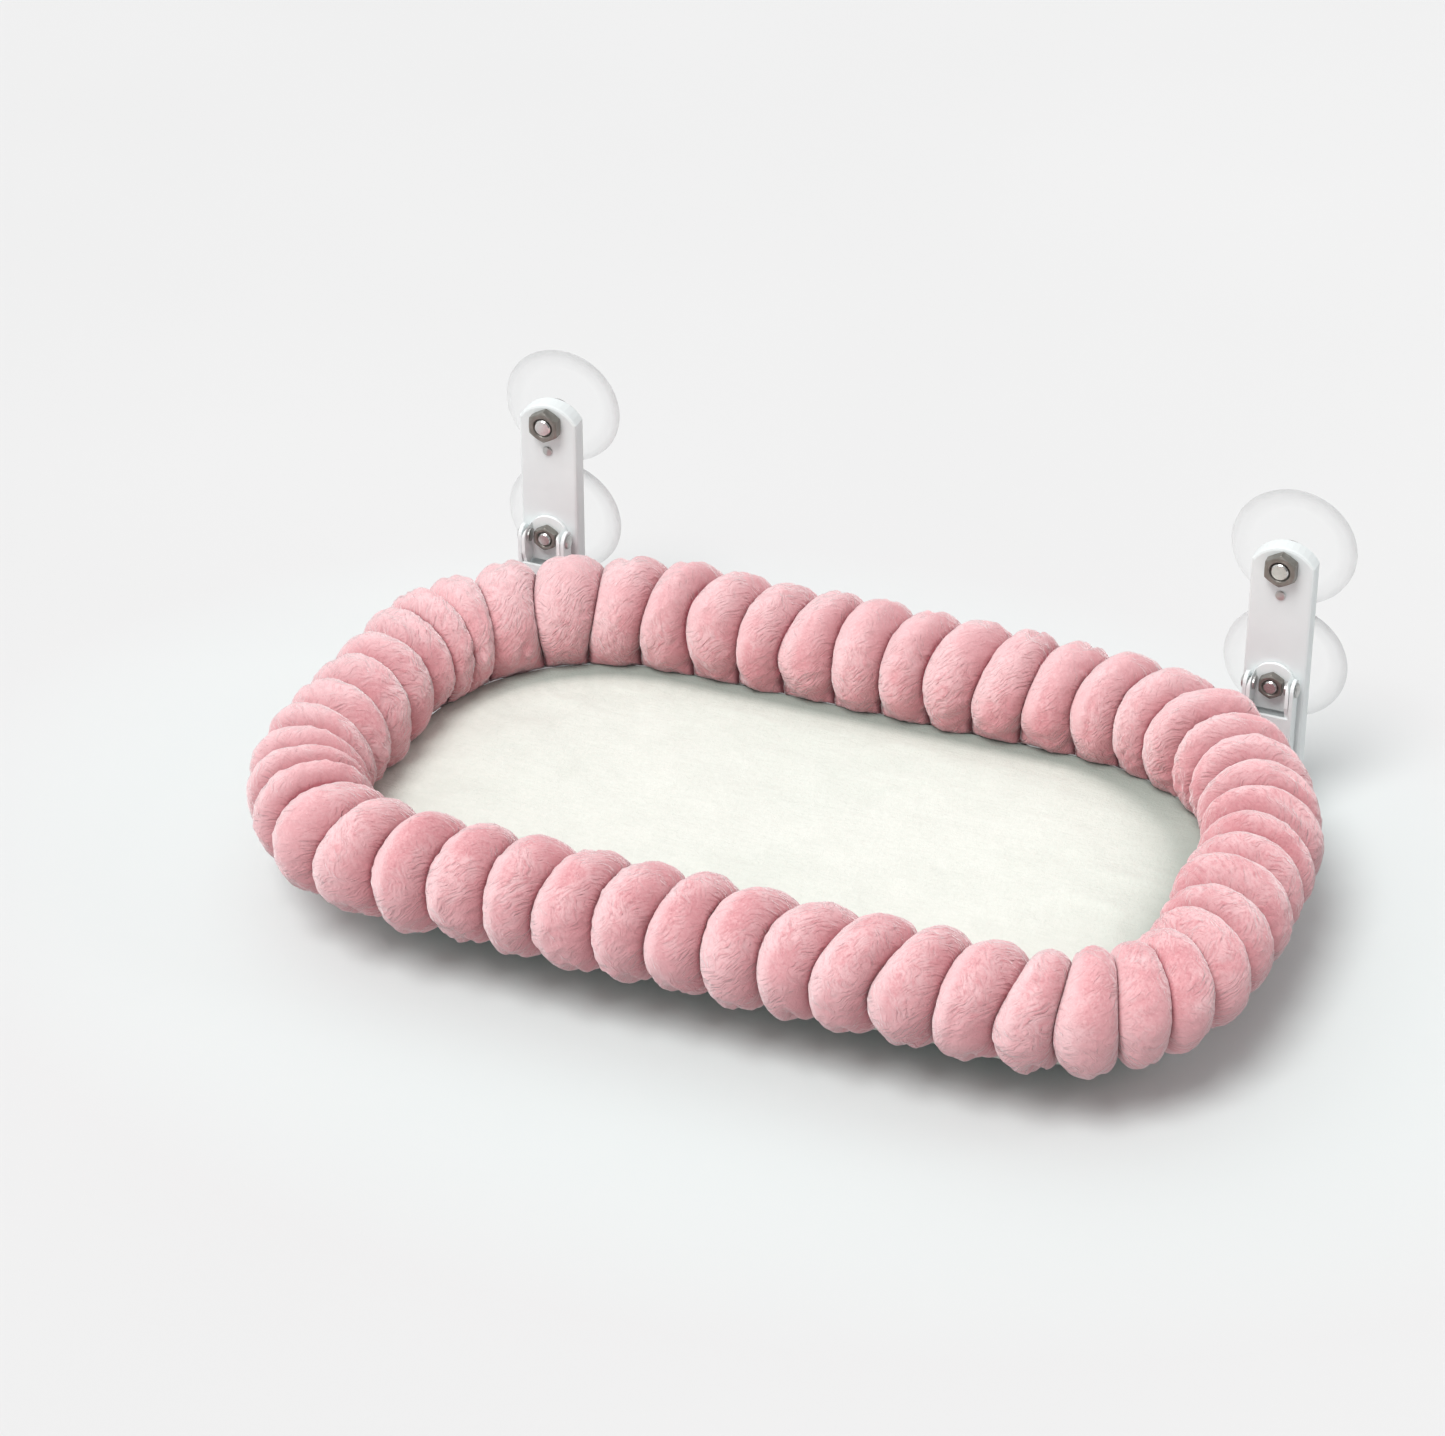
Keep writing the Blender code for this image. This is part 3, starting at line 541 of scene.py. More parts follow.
for name, ob in NODES.items():
    # hinge brackets get the lighter copy of the coat, painted light
    if name.startswith("hinge_bracket"):
        paint(ob, M_COAT_PAINTED_LIGHT)
    elif name.startswith(("wall_plate", "arm_left", "arm_right", "ring_half")):
        paint(ob, M_COAT)
    elif "suction_cup" in name:
        paint(ob, M_PVC)
    elif "stud" in name:
        paint(ob, M_BRIGHT)
    elif "nut" in name:
        paint(ob, M_DARK)
    elif "rivet" in name or "screw" in name or "joint" in name:
        paint(ob, M_ZINC)
    elif "bumper" in name:
        paint(ob, M_RUBBER)
    elif "cap" in name or "saddle" in name:
        paint(ob, M_PLASTIC)
    elif "strap" in name:
        paint(ob, M_WEB)
    elif name == "sling":
        paint(ob, M_SLING)


# ---- bolster -------------------------------------------------------------------------------------------
RIBS, PER_RIB, AROUND = 51, 28, 136
# (distance along the bed from the middle of the front, rib pitch there), mm
PITCH = ((0, 30.6), (110, 31.8), (150, 32.6), (190, 25.6), (240, 22.0), (310, 27.4), (372, 22.4),
         (430, 24.0), (480, 26.4), (525, 30.0), (575, 28.8), (650, 28.0), (720, 28.6), (795, 29.4),
         (840, 35.6), (930, 35.6), (960, 17.4), (983, 22.0), (1010, 31.0), (1060, 26.0),
         (1098, 26.0), (1122, 14.8), (1146, 17.8), (1166, 27.6), (1200, 30.4), (1250, 30.6))
FIRST_SEAM = 16.6
SHEAR = 0.20               # how far the seams lie round, outer side against inner, in ribs


def seam_map():
    """Arc lengths, and the seam number reached at each."""
    s = np.linspace(0, bed.length, 4001)
    at = [p[0] for p in PITCH]
    pitch = [p[1] for p in PITCH]
    at = [at[-1] - bed.length] + at + [bed.length]
    pitch = [pitch[-1]] + pitch + [pitch[0]]
    density = 1.0 / np.interp(s, at, pitch)
    k = np.concatenate([[0.0], np.cumsum((density[1:] + density[:-1]) / 2)])
    k = k / k[-1] * RIBS
    return s, k - np.interp(FIRST_SEAM, s, k)


def ring_offset(s):
    """How far the ring's centreline lies inward of the bed's, at s."""
    x, y, _, _ = bed.at(s)
    rs = np.linspace(0, ring.length, 2400, endpoint=False)
    rx, ry, _, _ = ring.at(rs)
    return np.sqrt(((x[:, None] - rx[None]) ** 2 + (y[:, None] - ry[None]) ** 2).min(axis=1))


def mat_reach(nx):
    """How far the mat's edge laps outward of the ring's centreline."""
    return 2.5 + 5.0 * nx ** 2


MAT_CONTACT = -117.62       # plush rests on the mat's edge at this height


def make_bolster():
    grid_s, grid_k = seam_map()
    total = bed.length

    def s_of(k):
        turn = np.floor((k - grid_k[0]) / RIBS)
        return np.interp(k - turn * RIBS, grid_k, grid_s) + turn * total

    crease = rng.uniform(-0.035, 0.035, RIBS)             # seams aren't quite even
    lean_a = rng.uniform(-0.085, 0.085, (RIBS, 2))        # or square
    lean_b = rng.uniform(-0.04, 0.04, (RIBS, 2))
    fat = rng.uniform(-0.9, 0.9, RIBS)                    # rib radius, mm
    drop = rng.uniform(0.90, 1.10, RIBS)                  # crease depth
    square = rng.uniform(1.80, 2.12, RIBS)
    skew = rng.uniform(-0.10, 0.10, RIBS)                 # where a rib is fattest

    # two runs of ribs, closed at a crease at the middle of the front and of the back
    halves = (("right", "bolster_right", 0, 25), ("left", "bolster_left", 25, RIBS))
    made = []
    for tag, node, first, last in halves:
        count = last - first
        rows = count * PER_RIB + 1
        row = np.arange(rows)
        rib = np.minimum(row // PER_RIB, count - 1) + first
        frac = (row - (rib - first) * PER_RIB) / PER_RIB
        t = (1 - np.cos(np.pi * frac)) / 2
        v = 0.80 * t + 0.20 * frac
        phi = 2 * math.pi * np.arange(AROUND) / AROUND - math.radians(118)

        def seam(j):
            j = j % RIBS
            c, s = np.cos(phi), np.sin(phi)
            return (crease[j][:, None] + (lean_a[j, 0][:, None] - SHEAR) * c + lean_a[j, 1][:, None] * s
                    + lean_b[j, 0][:, None] * np.cos(2 * phi) + lean_b[j, 1][:, None] * np.sin(2 * phi))

        s_lo, s_hi = s_of(rib[:, None] + seam(rib)), s_of(rib[:, None] + 1 + seam(rib + 1))
        s = s_lo + (s_hi - s_lo) * v[:, None]
        ph = np.broadcast_to(phi, s.shape)
        cosp, sinp = np.cos(ph), np.sin(ph)
        _, _, nx_row, ny_row = bed.at(s[:, 0])

        # a rib is narrow on the inner side of a bend
        s_mid = (s_lo + s_hi) / 2
        _, _, nx0, ny0 = bed.at(s_mid - 6.0)
        _, _, nx1, ny1 = bed.at(s_mid + 6.0)
        bend = np.hypot(nx1 - nx0, ny1 - ny0) / 12.0
        width = (s_hi - s_lo) * (1 + bend * PLUSH_R * cosp)

        u = 2 * v[:, None] - 1
        u = u + skew[rib][:, None] * (1 - u * u)
        power = square[rib][:, None]
        arch = np.clip(1 - np.abs(u) ** power, 0, 1) ** (1 / power)
        nextrib = (rib + 1) % RIBS
        low = np.abs(np.degrees(np.angle(np.exp(1j * (ph - math.radians(-112))))))
        pressed = 0.10 + 0.90 * smoothstep(12, 34, low)
        side_drop = drop[rib][:, None] * (1 - v[:, None]) + drop[nextrib][:, None] * v[:, None]
        deep = np.clip(0.46 * width, 6.0, 14.0) * side_drop * pressed
        radius = PLUSH_R + fat[rib][:, None] * np.sqrt(arch) - deep * (1 - arch)

        # soft lumps of the filling
        wrap = int(round(total / 26.0))
        U = s / total * wrap
        a, b = cosp * PLUSH_R, sinp * PLUSH_R
        lump = noise3(U, a / 22.0 + 5, b / 22.0 + 9, 1, wrap)
        radius = radius + 1.5 * lump * arch

        # ribs pinched by the sewing: a short groove that parts a rib in two lobes,
        # under the tube along the front, on its outer side along the back
        ny_rib = np.interp(s_mid[:, 0] % total, np.arange(0, 1384), bed.at(np.arange(0, 1384.0))[3])
        pin = np.random.default_rng(31)
        for shot in range(3):
            at_v = pin.uniform(0.34, 0.66, RIBS)
            at_phi = pin.uniform(-math.pi, math.pi, RIBS)
            amount = pin.uniform(0.0, 1.0, RIBS) ** 1.5 * 1.6
            if shot == 0:
                front = pin.uniform(-1.12, -0.86, RIBS)
                back = pin.uniform(0.85, 1.25, RIBS)
                j_ny = np.array([ny_rib[np.argmax(rib == j)] if (rib == j).any() else 0.0
                                 for j in range(RIBS)])
                at_phi = np.where(j_ny < 0, front, back)
                at_v = np.where(j_ny < 0, pin.uniform(0.52, 0.68, RIBS), pin.uniform(0.42, 0.62, RIBS))
                amount = pin.uniform(0.0, 1.0, RIBS) ** 0.7 * np.where(j_ny < 0, 9.5, 6.5) * np.abs(j_ny) ** 0.5
            dv = (v[:, None] - at_v[rib][:, None]) / (0.085 if shot == 0 else 0.12)
            dp = np.angle(np.exp(1j * (ph - at_phi[rib][:, None]))) / (0.34 if shot == 0 else 0.42)
            radius = radius - amount[rib][:, None] * np.exp(-dv ** 2 - dp ** 2) * arch

        # strokes in the plush: short, curling, slanted across each rib and
        # strongest on its rising side; long folds run with the seams in the tight corners
        tt = ph * PLUSH_R
        own = rib[:, None] * 5.37 + 0.0 * tt
        bend1 = noise3(s / 15.0, tt / 15.0, own, 3)
        bend2 = noise3(s / 15.0 + 9, tt / 15.0 + 4, own, 4)

        def strokes(angle, long, gap, curl, seed):
            c, q = math.cos(angle), math.sin(angle)
            a1, b1 = s + curl * bend1, tt + curl * bend2
            return noise3((a1 * c + b1 * q) / long, (b1 * c - a1 * q) / gap, own, seed)

        f1 = strokes(0.80, 6.6, 2.5, 3.2, 5)
        f2 = strokes(-1.05, 6.0, 2.6, 3.6, 6)
        f3 = strokes(0.45, 11.0, 4.4, 5.0, 7)
        warp = noise3(U, a / 17.0, b / 17.0, 3, wrap)
        warp2 = noise3(U, a / 15.0 + 3, b / 15.0 + 7, 4, wrap)
        mask = smoothstep(-0.35, 0.35, noise3(s / 17.0, tt / 19.0, own + 2, 8))
        calm = smoothstep(-0.55, 0.15, noise3(s / 24.0 + 5, tt / 26.0, own, 11))
        lit = smoothstep(1.0, 0.35, v[:, None])
        corner_l = np.exp(-((s - 962.0) / 26.0) ** 2) + 0.75 * np.exp(-((s - 483.0) / 22.0) ** 2)
        corner_l = corner_l + 0.6 * np.exp(-((s - 1148.0) / 20.0) ** 2)
        long_f = noise3(s / 5.4 + 2.2 * warp, a / 30.0, b / 30.0, 15)
        wrap4 = int(round(total / 13.0))
        U4 = s / total * wrap4
        puck = noise3(U4 + 0.5 * warp, a / 4.4 + warp2, b / 4.4, 9, wrap4)
        near = np.clip(1 - arch, 0, 1) ** 0.8
        edge = smoothstep(0.0, 0.26, arch)
        fold = f1 * (1 - 0.75 * mask) + f2 * (0.25 + 0.75 * mask) + 0.7 * f3
        fold = fold * (0.42 + 0.58 * calm) * (0.48 + 0.52 * lit) * 0.80
        fold = fold * edge + 0.95 * puck * near * edge
        fold = fold + corner_l * (1 - np.abs(long_f) * 2.2) * 1.15 * edge
        radius = radius + fold

        # low on the inner side the plush is drawn down on the mat's edge and the sleeve
        off_row = ring_offset(s[:, 0])[:, None]
        deg = np.degrees(ph)
        deg = np.where(deg > 180, deg - 360, deg)
        centre = np.hypot(off_row, RING_Z - BOLSTER_Z)
        delta = ph - np.arctan2(RING_Z - BOLSTER_Z, -off_row)
        delta = np.angle(np.exp(1j * delta))
        inside = (SLEEVE_R + 1.6) ** 2 - (centre * np.sin(delta)) ** 2
        to_sleeve = np.where((inside > 0) & (np.cos(delta) > 0),
                             centre * np.cos(delta) - np.sqrt(np.clip(inside, 0, None)), 35.0)
        to_mat = np.where(sinp < -0.5, (MAT_CONTACT - BOLSTER_Z) / np.minimum(sinp, -0.5), 35.0)
        target = np.minimum(np.minimum(to_sleeve, to_mat), 34.6)
        window = smoothstep(-133 + 17 * (1 - arch), -121 + 15 * (1 - arch), deg) * (1 - smoothstep(-106, -88, deg))
        radius = radius + window * np.clip(target - radius, 0, None)

        # in the cross-section the plush rests on the sleeve round the ring and on the mat
        hu, hz = cosp * radius, sinp * radius
        off = off_row
        cu, cz = -off, RING_Z - BOLSTER_Z
        limit = SLEEVE_R + 1.5
        for _ in range(2):
            d = np.hypot(hu - cu, hz - cz)
            k = np.clip(limit - d, 0, None) / np.maximum(d, 1e-6)
            hu, hz = hu + (hu - cu) * k, hz + (hz - cz) * k
            reach = -off + mat_reach(nx_row)[:, None]
            least = MAT_CONTACT - BOLSTER_Z - np.clip(hu - reach - 1.0, 0, None) * 2.2
            hz = np.where(hz < least, least + 0.10 * (hz - least), hz)

        x, y, nx, ny = bed.at(s)
        P = np.stack([x + nx * hu, y + ny * hu, BOLSTER_Z + hz], axis=-1)
        ends = []
        for r in (0, -1):
            ex, ey, _, _ = bed.at(s[r:r + 1 or None, :].mean(axis=1))
            ends.append([ex[0], ey[0], BOLSTER_Z])
        verts = np.vstack([P.reshape(-1, 3), ends])
        faces = [tuple(q) for q in grid_faces(rows, AROUND, wrap_n=False)[:, ::-1]]
        c0, c1, base = rows * AROUND, rows * AROUND + 1, (rows - 1) * AROUND
        for k in range(AROUND):
            q = (k + 1) % AROUND
            faces.append((k, q, c0))
            faces.append((base + q, base + k, c1))
        ob = mesh_object("plush_bolster_" + tag, verts * MM, faces)
        # painted shade low on the outer side
        shade = smoothstep(0.9, -0.5, ph) * smoothstep(-2.0, -1.2, ph)
        # T is the way along the ring; painted shade darkens the flank that faces right and front
        turn = np.clip(1.5 * (-ny_row * 0.86 + nx_row * -0.51), -1, 1)[:, None]
        painted_flank_shade = np.clip((u * turn + 0.02) / 1.0, 0, 1) ** 1.30 * np.ones_like(s)
        # painted highlight on the upper part of the flank that faces left and back
        painted_highlight = (smoothstep(0.10, 0.55, -u * turn) * (1 - smoothstep(0.80, 1.0, -u * turn))
               * smoothstep(-0.75, 0.35, sinp))
        # and a painted highlight along the top of the back and the outer top of the left end
        at_back, at_left = np.clip(ny_row, 0, 1)[:, None], np.clip(-nx_row, 0, 1)[:, None]
        crest = (0.66 * smoothstep(0.15, 0.95, sinp) * at_back
                 + 1.05 * smoothstep(-0.05, 0.85, 0.62 * sinp + 0.62 * cosp) * at_left)
        painted_highlight = np.clip(painted_highlight + crest * np.sqrt(arch), 0, 1)
        # near-black painted shadow deep in the creases, low on the inner side where the ribs meet the mat
        gap = (smoothstep(-152, -138, deg) * (1 - smoothstep(-104, -92, deg))
               * smoothstep(0.34, 0.74, 1 - arch) * 0.92)
        # painted shade low on the inner side, next to the mat
        inner = smoothstep(0.45, -0.80, sinp) * smoothstep(0.15, -0.35, cosp)
        for label, values in (("crown", arch), ("fold", fold), ("under", shade), ("painted_flank_shade", painted_flank_shade), ("inner", inner), ("gap", gap),
                              ("painted_highlight", painted_highlight)):
            full = np.concatenate([np.broadcast_to(values, s.shape).ravel(), [0.0, 0.0]])
            at = ob.data.attributes.new(label, "FLOAT", "POINT")
            at.data.foreach_set("value", full.astype(np.float32))
        lay = np.stack([s * MM, tt * MM, own * MM * 10], axis=-1).reshape(-1, 3)
        lay = np.vstack([lay, lay[:1], lay[-1:]])
        at = ob.data.attributes.new("lay", "FLOAT_VECTOR", "POINT")
        at.data.foreach_set("vector", lay.astype(np.float32).ravel())
        paint(ob, M_PINK)
        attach(ob, "bed")
        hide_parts(node)
        made.append(ob)
    return made


bolster = make_bolster()


# ---- mat --------------------------------------------------------------------------------------------------
def make_mat():
    n, m = 420, 84
    s = ring.length * np.arange(n) / n
    x, y, nx, ny = ring.at(s)
    e = mat_reach(nx)
    one = np.ones(n)
    # the pad's edge in section, from its underside up: it laps over the sleeve, thinning
    section = [(-12.5 * one, -126.6), (-11.6 * one, -124.6), (-10.8 * one, -121.6),
               (-8.2 * one, -120.0), (-4.6 * one, -119.45), (-1.5 * one, -119.45),
               (e - 1.2, -119.5), (e, -119.1), (e - 0.2, -118.55), (e - 1.6, -118.1),
               (e - 5.0, -117.9), (-7.5 * one, -117.85), (-11.5 * one, -117.8),
               (-16.0 * one, -117.8), (-22.0 * one, -117.95)]
    rows = [np.stack([x + nx * off, y + ny * off, np.full(n, z)], axis=-1) for off, z in section]
    cx, cy = 0.0, (BED_BACK + BED_FRONT) / 2
    last = rows[-1]
    for k in range(1, m):
        f = 1 - k / m
        rows.append(np.stack([cx + (last[:, 0] - cx) * f, cy + (last[:, 1] - cy) * f,
                              np.full(n, -117.95)], axis=-1))
    P = np.array(rows)
    X, Y, Z = P[..., 0], P[..., 1], P[..., 2]
    depth = np.arange(len(rows))[:, None]
    # soft unevenness of the pad, its sewn edge, and small dents in the pile
    amp = smoothstep(9, 17, depth)
    soft = noise3(X / 58 + 11, Y / 58 + 4, Z * 0, 21) * 0.80 + noise3(X / 21, Y / 21, Z * 0, 22) * 0.34
    small = (noise3(X / 7.5, Y / 7.5, Z * 0, 23) * 0.12
             + (1 - np.abs(noise3(X / 13, Y / 9, Z * 0, 24)) * 2) * 0.12)
    crumple = 1 - np.abs(noise3(X / 34 + 5, Y / 26 + 2, Z * 0, 26)) * 2.6
    rim = np.exp(-((depth - 22) / 9.0) ** 2)
    sag = -1.0 * smoothstep(0.0, 1.0, np.clip((depth - 14) / 60.0, 0, 1))
    puck = np.sin(s / 12.5 * 2 * math.pi + 2.6 * noise3(s / 40, s * 0, s * 0, 25))[None]
    puck = puck * np.exp(-((depth - 12.5) / 2.4) ** 2) * 0.22
    Z = Z + (soft + small + crumple * rim * 0.55) * amp + sag + puck
    Z = np.where(depth <= 13, np.minimum(Z, -117.7), np.minimum(Z, -116.9))
    verts = np.stack([X, Y, Z], axis=-1).reshape(-1, 3)
    count = len(rows)
    top, base = len(verts), len(verts) + 1
    verts = np.vstack([verts, [[cx, cy, float(Z[-1].mean())]], [[cx, cy, -126.6]]])
    faces = [tuple(q) for q in grid_faces(count, n, wrap_n=False)]
    ring_top = (count - 1) * n
    for k in range(n):
        q = (k + 1) % n
        faces.append((ring_top + k, ring_top + q, top))
        faces.append((q, k, base))
    ob = mesh_object("plush_mat", verts * MM, faces)
    bm = bmesh.new()
    bm.from_mesh(ob.data)
    bmesh.ops.recalc_face_normals(bm, faces=bm.faces[:])
    bm.to_mesh(ob.data)
    bm.free()
    ob.data.shade_smooth()
    # painted shade on the mat along the bolster, widest at the right end
    inward = -np.array([off if np.ndim(off) else np.full(n, off) for off, _ in section]
                       + [-22.0 * one for k in range(1, m)])
    span = np.hypot(last[:, 0] - cx, last[:, 1] - cy)
    for k in range(1, m):
        inward[len(section) + k - 1] = 22.0 + span * (k / m)
    right_side, back_side, left_side = np.clip(nx, 0, 1), np.clip(ny, 0, 1), np.clip(-nx, 0, 1)
    start = 11.0 * right_side + 8.5 * back_side + 2.0 * left_side
    wide = 4.6 + 10.5 * right_side
    force = 0.20 + 0.72 * np.maximum(right_side * 0.80, back_side) + 0.10 * left_side
    rim_shade = force * np.exp(-(np.clip(inward - start, 0, None) / wide) ** 1.3)
    rim_shade = np.concatenate([rim_shade.ravel(), [0.0, 0.0]])
    at = ob.data.attributes.new("rim", "FLOAT", "POINT")
    at.data.foreach_set("value", rim_shade.astype(np.float32))
    at = ob.data.attributes.new("edge", "FLOAT", "POINT")
    # greener tint near the bolster, painted against its pink bounce light
    bounce_counter_tint = np.exp(-inward / 55.0) * (1 - 0.50 * left_side)
    at.data.foreach_set("value", np.concatenate([bounce_counter_tint.ravel(), [0.0, 0.0]]).astype(np.float32))
    paint(ob, M_CREAM)
    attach(ob, "bed")
    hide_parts("mat")
    return ob


mat_piece = make_mat()


# ---- suction cups -----------------------------------------------------------------------------------------
def rounded(profile, radius, steps=4):
    """Rounds the corners of a (r, h) loop; points on the axis stay."""
    out = []
    n = len(profile)
    for i, p in enumerate(profile):
        a, b = profile[i - 1], profile[(i + 1) % n]
        if p[0] < 1e-9:
            out.append(p)
            continue
        da, db = math.dist(a, p), math.dist(b, p)
        if min(da, db) < 1e-9:
            continue
        r = min(radius, da * 0.42, db * 0.42)
        pa = (p[0] + (a[0] - p[0]) * r / da, p[1] + (a[1] - p[1]) * r / da)
        pb = (p[0] + (b[0] - p[0]) * r / db, p[1] + (b[1] - p[1]) * r / db)
        for k in range(steps + 1):
            t = k / steps
            out.append(((1 - t) ** 2 * pa[0] + 2 * t * (1 - t) * p[0] + t * t * pb[0],
                        (1 - t) ** 2 * pa[1] + 2 * t * (1 - t) * p[1] + t * t * pb[1]))
    return out


def make_cup(name, node, x, z, stud_r, head_r):
    hub = -(abs(PLATE_FRONT + PLATE_T) - 0.3)
    bore, pocket = stud_r + 0.3, head_r + 0.3
    prof = [(0, -3.2), (14, -2.4), (22, 0.0), (CUP_R, 0.0), (CUP_R, -1.0), (29, -2.0), (20, -4.8),
            (13.4, -9.6), (12.2, -11.8), (8.7, -12.6), (8.5, hub + 0.8), (7.9, hub),
            (bore, hub), (bore, -10.6), (pocket, -10.6), (pocket, -6.7), (0, -6.7)]
    ob = turned(name, rounded(prof, 1.6), (x, 0, z), "y", 144, 40)
    co = np.empty(len(ob.data.vertices) * 3)
    ob.data.vertices.foreach_get("co", co)
    co = co.reshape(-1, 3) / MM
    far = np.hypot(co[:, 0] - x, co[:, 2] - z)
    turn = np.arctan2(co[:, 2] - z, co[:, 0] - x)
    # grey outline on the bead, painted shade, strongest towards the upper right
    bead_shade = smoothstep(CUP_R - 1.1, CUP_R - 0.5, far) * (0.62 + 0.38 * np.cos(turn - 0.9))
    at = ob.data.attributes.new("rim", "FLOAT", "POINT")
    at.data.foreach_set("value", bead_shade.astype(np.float32))
    paint(ob, M_PVC)
    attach(ob, "brackets")
    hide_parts(node)
    return ob


for side, tag in ((-1, "left"), (1, "right")):
    make_cup("cup_upper_" + tag, "upper_suction_cup_" + tag, side * BRACKET_X, 0.0, 5.0, 8.0)
    make_cup("cup_lower_" + tag, "lower_suction_cup_" + tag, side * BRACKET_X, -CUP_PITCH, 4.0, 7.0)


# ---- sling -------------------------------------------------------------------------------------------------
RING_CUTS = ((-179.0, -147.0), (-263.0, -231.0))       # y of the cut-outs over the saddles


def thick_sheet(name, P, closed_u, drop, thick, shade_angle=50.0):
    """A closed thin solid from a grid of mid-surface points. P is (n, m, 3), n round the
    ring, closed in the middle. drop marks faces that are cut away; every open edge gets
    its own rim."""
    n, m = P.shape[:2]
    du = np.roll(P, -1, 0) - np.roll(P, 1, 0)
    dv = np.empty_like(P)
    dv[:, 1:-1] = P[:, 2:] - P[:, :-2]
    dv[:, 0], dv[:, -1] = P[:, 1] - P[:, 0], P[:, -1] - P[:, -2]
    normal = np.cross(du, dv)
    normal /= np.maximum(np.linalg.norm(normal, axis=-1, keepdims=True), 1e-9)
    top, low = P + normal * thick / 2, P - normal * thick / 2
    verts = np.vstack([top.reshape(-1, 3), low.reshape(-1, 3)])
    quads = grid_faces(n, m, wrap_n=closed_u, wrap_m=False)
    quads = quads[~drop.reshape(-1)]
    base = n * m
    faces = [tuple(q) for q in quads] + [tuple(q[::-1] + base) for q in quads]
    count = {}
    for q in quads:
        for i in range(4):
            e = (int(q[i]), int(q[(i + 1) % 4]))
            count[e] = count.get(e, 0) + 1
    for (p, q) in count:
        if (q, p) in count:
            continue
        if p % m == 0 and q % m == 0:
            faces.append((q, p, 2 * base))
            faces.append((p + base, q + base, 2 * base + 1))
        else:
            faces.append((q, p, p + base, q + base))
    verts = np.vstack([verts, top[:, 0].mean(axis=0)[None], low[:, 0].mean(axis=0)[None]])
    ob = mesh_object(name, verts * MM, faces)
    bm = bmesh.new()
    bm.from_mesh(ob.data)
    bmesh.ops.delete(bm, geom=[v for v in bm.verts if not v.link_faces], context="VERTS")
    bmesh.ops.recalc_face_normals(bm, faces=bm.faces[:])
    bm.to_mesh(ob.data)
    bm.free()
    ob.data.shade_smooth()
    ob.data.set_sharp_from_angle(angle=math.radians(shade_angle))
    return ob


def cut_stations():
    """Arc lengths on the ring where the cut-outs begin and end, on both sides."""
    s = np.linspace(0, ring.length, 20001)
    x, y, _, _ = ring.at(s)
    out = []
    for sign in (1, -1):
        for y0, y1 in RING_CUTS:
            inside = (x * sign > 150) & (y > y0) & (y < y1)
            out.append((s[inside].min(), s[inside].max()))
    return sorted(out)


def make_sling():
    cuts = cut_stations()
    marks = [0.0]
    for lo, hi in cuts:
        marks += [lo, hi]
    marks.append(ring.length)
    stations = []
    for a0, a1 in zip(marks, marks[1:]):
        steps = max(4, int(round((a1 - a0) / 2.6)))
        stations += [a0 + (a1 - a0) * i / steps for i in range(steps)]
    s = np.array(stations)
    n = len(s)
    x, y, nx, ny = ring.at(s)
    bendy = np.clip(np.abs(nx * ny) * 2, 0, 1)             # 1 in the middle of a corner
    cx, cy = 0.0, (BED_BACK + BED_FRONT) / 2
    rows = []
    # the panel, from its middle out to the sleeve
    inner = np.concatenate([np.linspace(0.04, 0.80, 40), np.linspace(0.82, 1.0, 12)])
    sx, sy = x - nx * 12.0 - cx, y - ny * 12.0 - cy
    for f in inner:
        px, py = cx + sx * f, cy + sy * f
        ripple = (noise3(px / 60, py / 44, px * 0, 41) * 0.9 + noise3(px / 19, py / 16, px * 0, 42) * 0.30
                  + np.sin(s / 5.2 + 2.4 * noise3(s / 24, s * 0, s * 0, 43)) * (0.12 + 0.75 * bendy)
                  * smoothstep(0.50, 0.92, f))
        loose = 1 - smoothstep(0.90, 0.985, f)
        z = -128.55 + (ripple * 0.55 - 1.1 * (1 - f * f)) * loose
        rows.append(np.stack([px, py, np.minimum(z, -128.2)], axis=-1))
    # round the ring: below it, outside it, over it
    for i in range(31):
        ang = math.radians(172.0 + (524.0 - 172.0) * i / 30)
        gather = np.sin(s / 3.3 + 1.6 * noise3(s / 18, s * 0, s * 0, 44)) * (0.12 + 0.24 * bendy)
        r = 9.15 + gather * math.sin(math.pi * i / 30) ** 0.5
        u, w = r * math.cos(ang), r * math.sin(ang)
        rows.append(np.stack([x + nx * u, y + ny * u, RING_Z + w], axis=-1))
    lower = len(inner)
    # the hem, sewn down on the panel
    for off, z in ((-10.2, -127.55), (-12.0, -127.62), (-13.2, -127.78), (-14.2, -127.66), (-17.0, -127.60),
                   (-19.6, -127.64), (-20.8, -127.80), (-22.0, -127.66), (-23.0, -127.68)):
        rows.append(np.stack([x + nx * off, y + ny * off, np.full(n, z)], axis=-1))
    P = np.array(rows).transpose(1, 0, 2)
    m = P.shape[1]
    drop = np.zeros((n, m - 1), bool)
    mid_s = (s + np.roll(s, -1)) / 2
    mid_s[-1] = (s[-1] + ring.length) / 2
    for lo, hi in cuts:
        sel = (mid_s > lo) & (mid_s < hi)
        # from where the sleeve leaves the panel to the ring's outer side
        drop[np.ix_(sel, np.arange(lower, lower + 16))] = True
    ob = thick_sheet("sling_cloth_panel", P, True, drop, 0.8)
    paint(ob, M_SLING)
    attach(ob, "bed")
    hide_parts("sling")
    return ob, cuts


sling_piece, sling_cuts = make_sling()


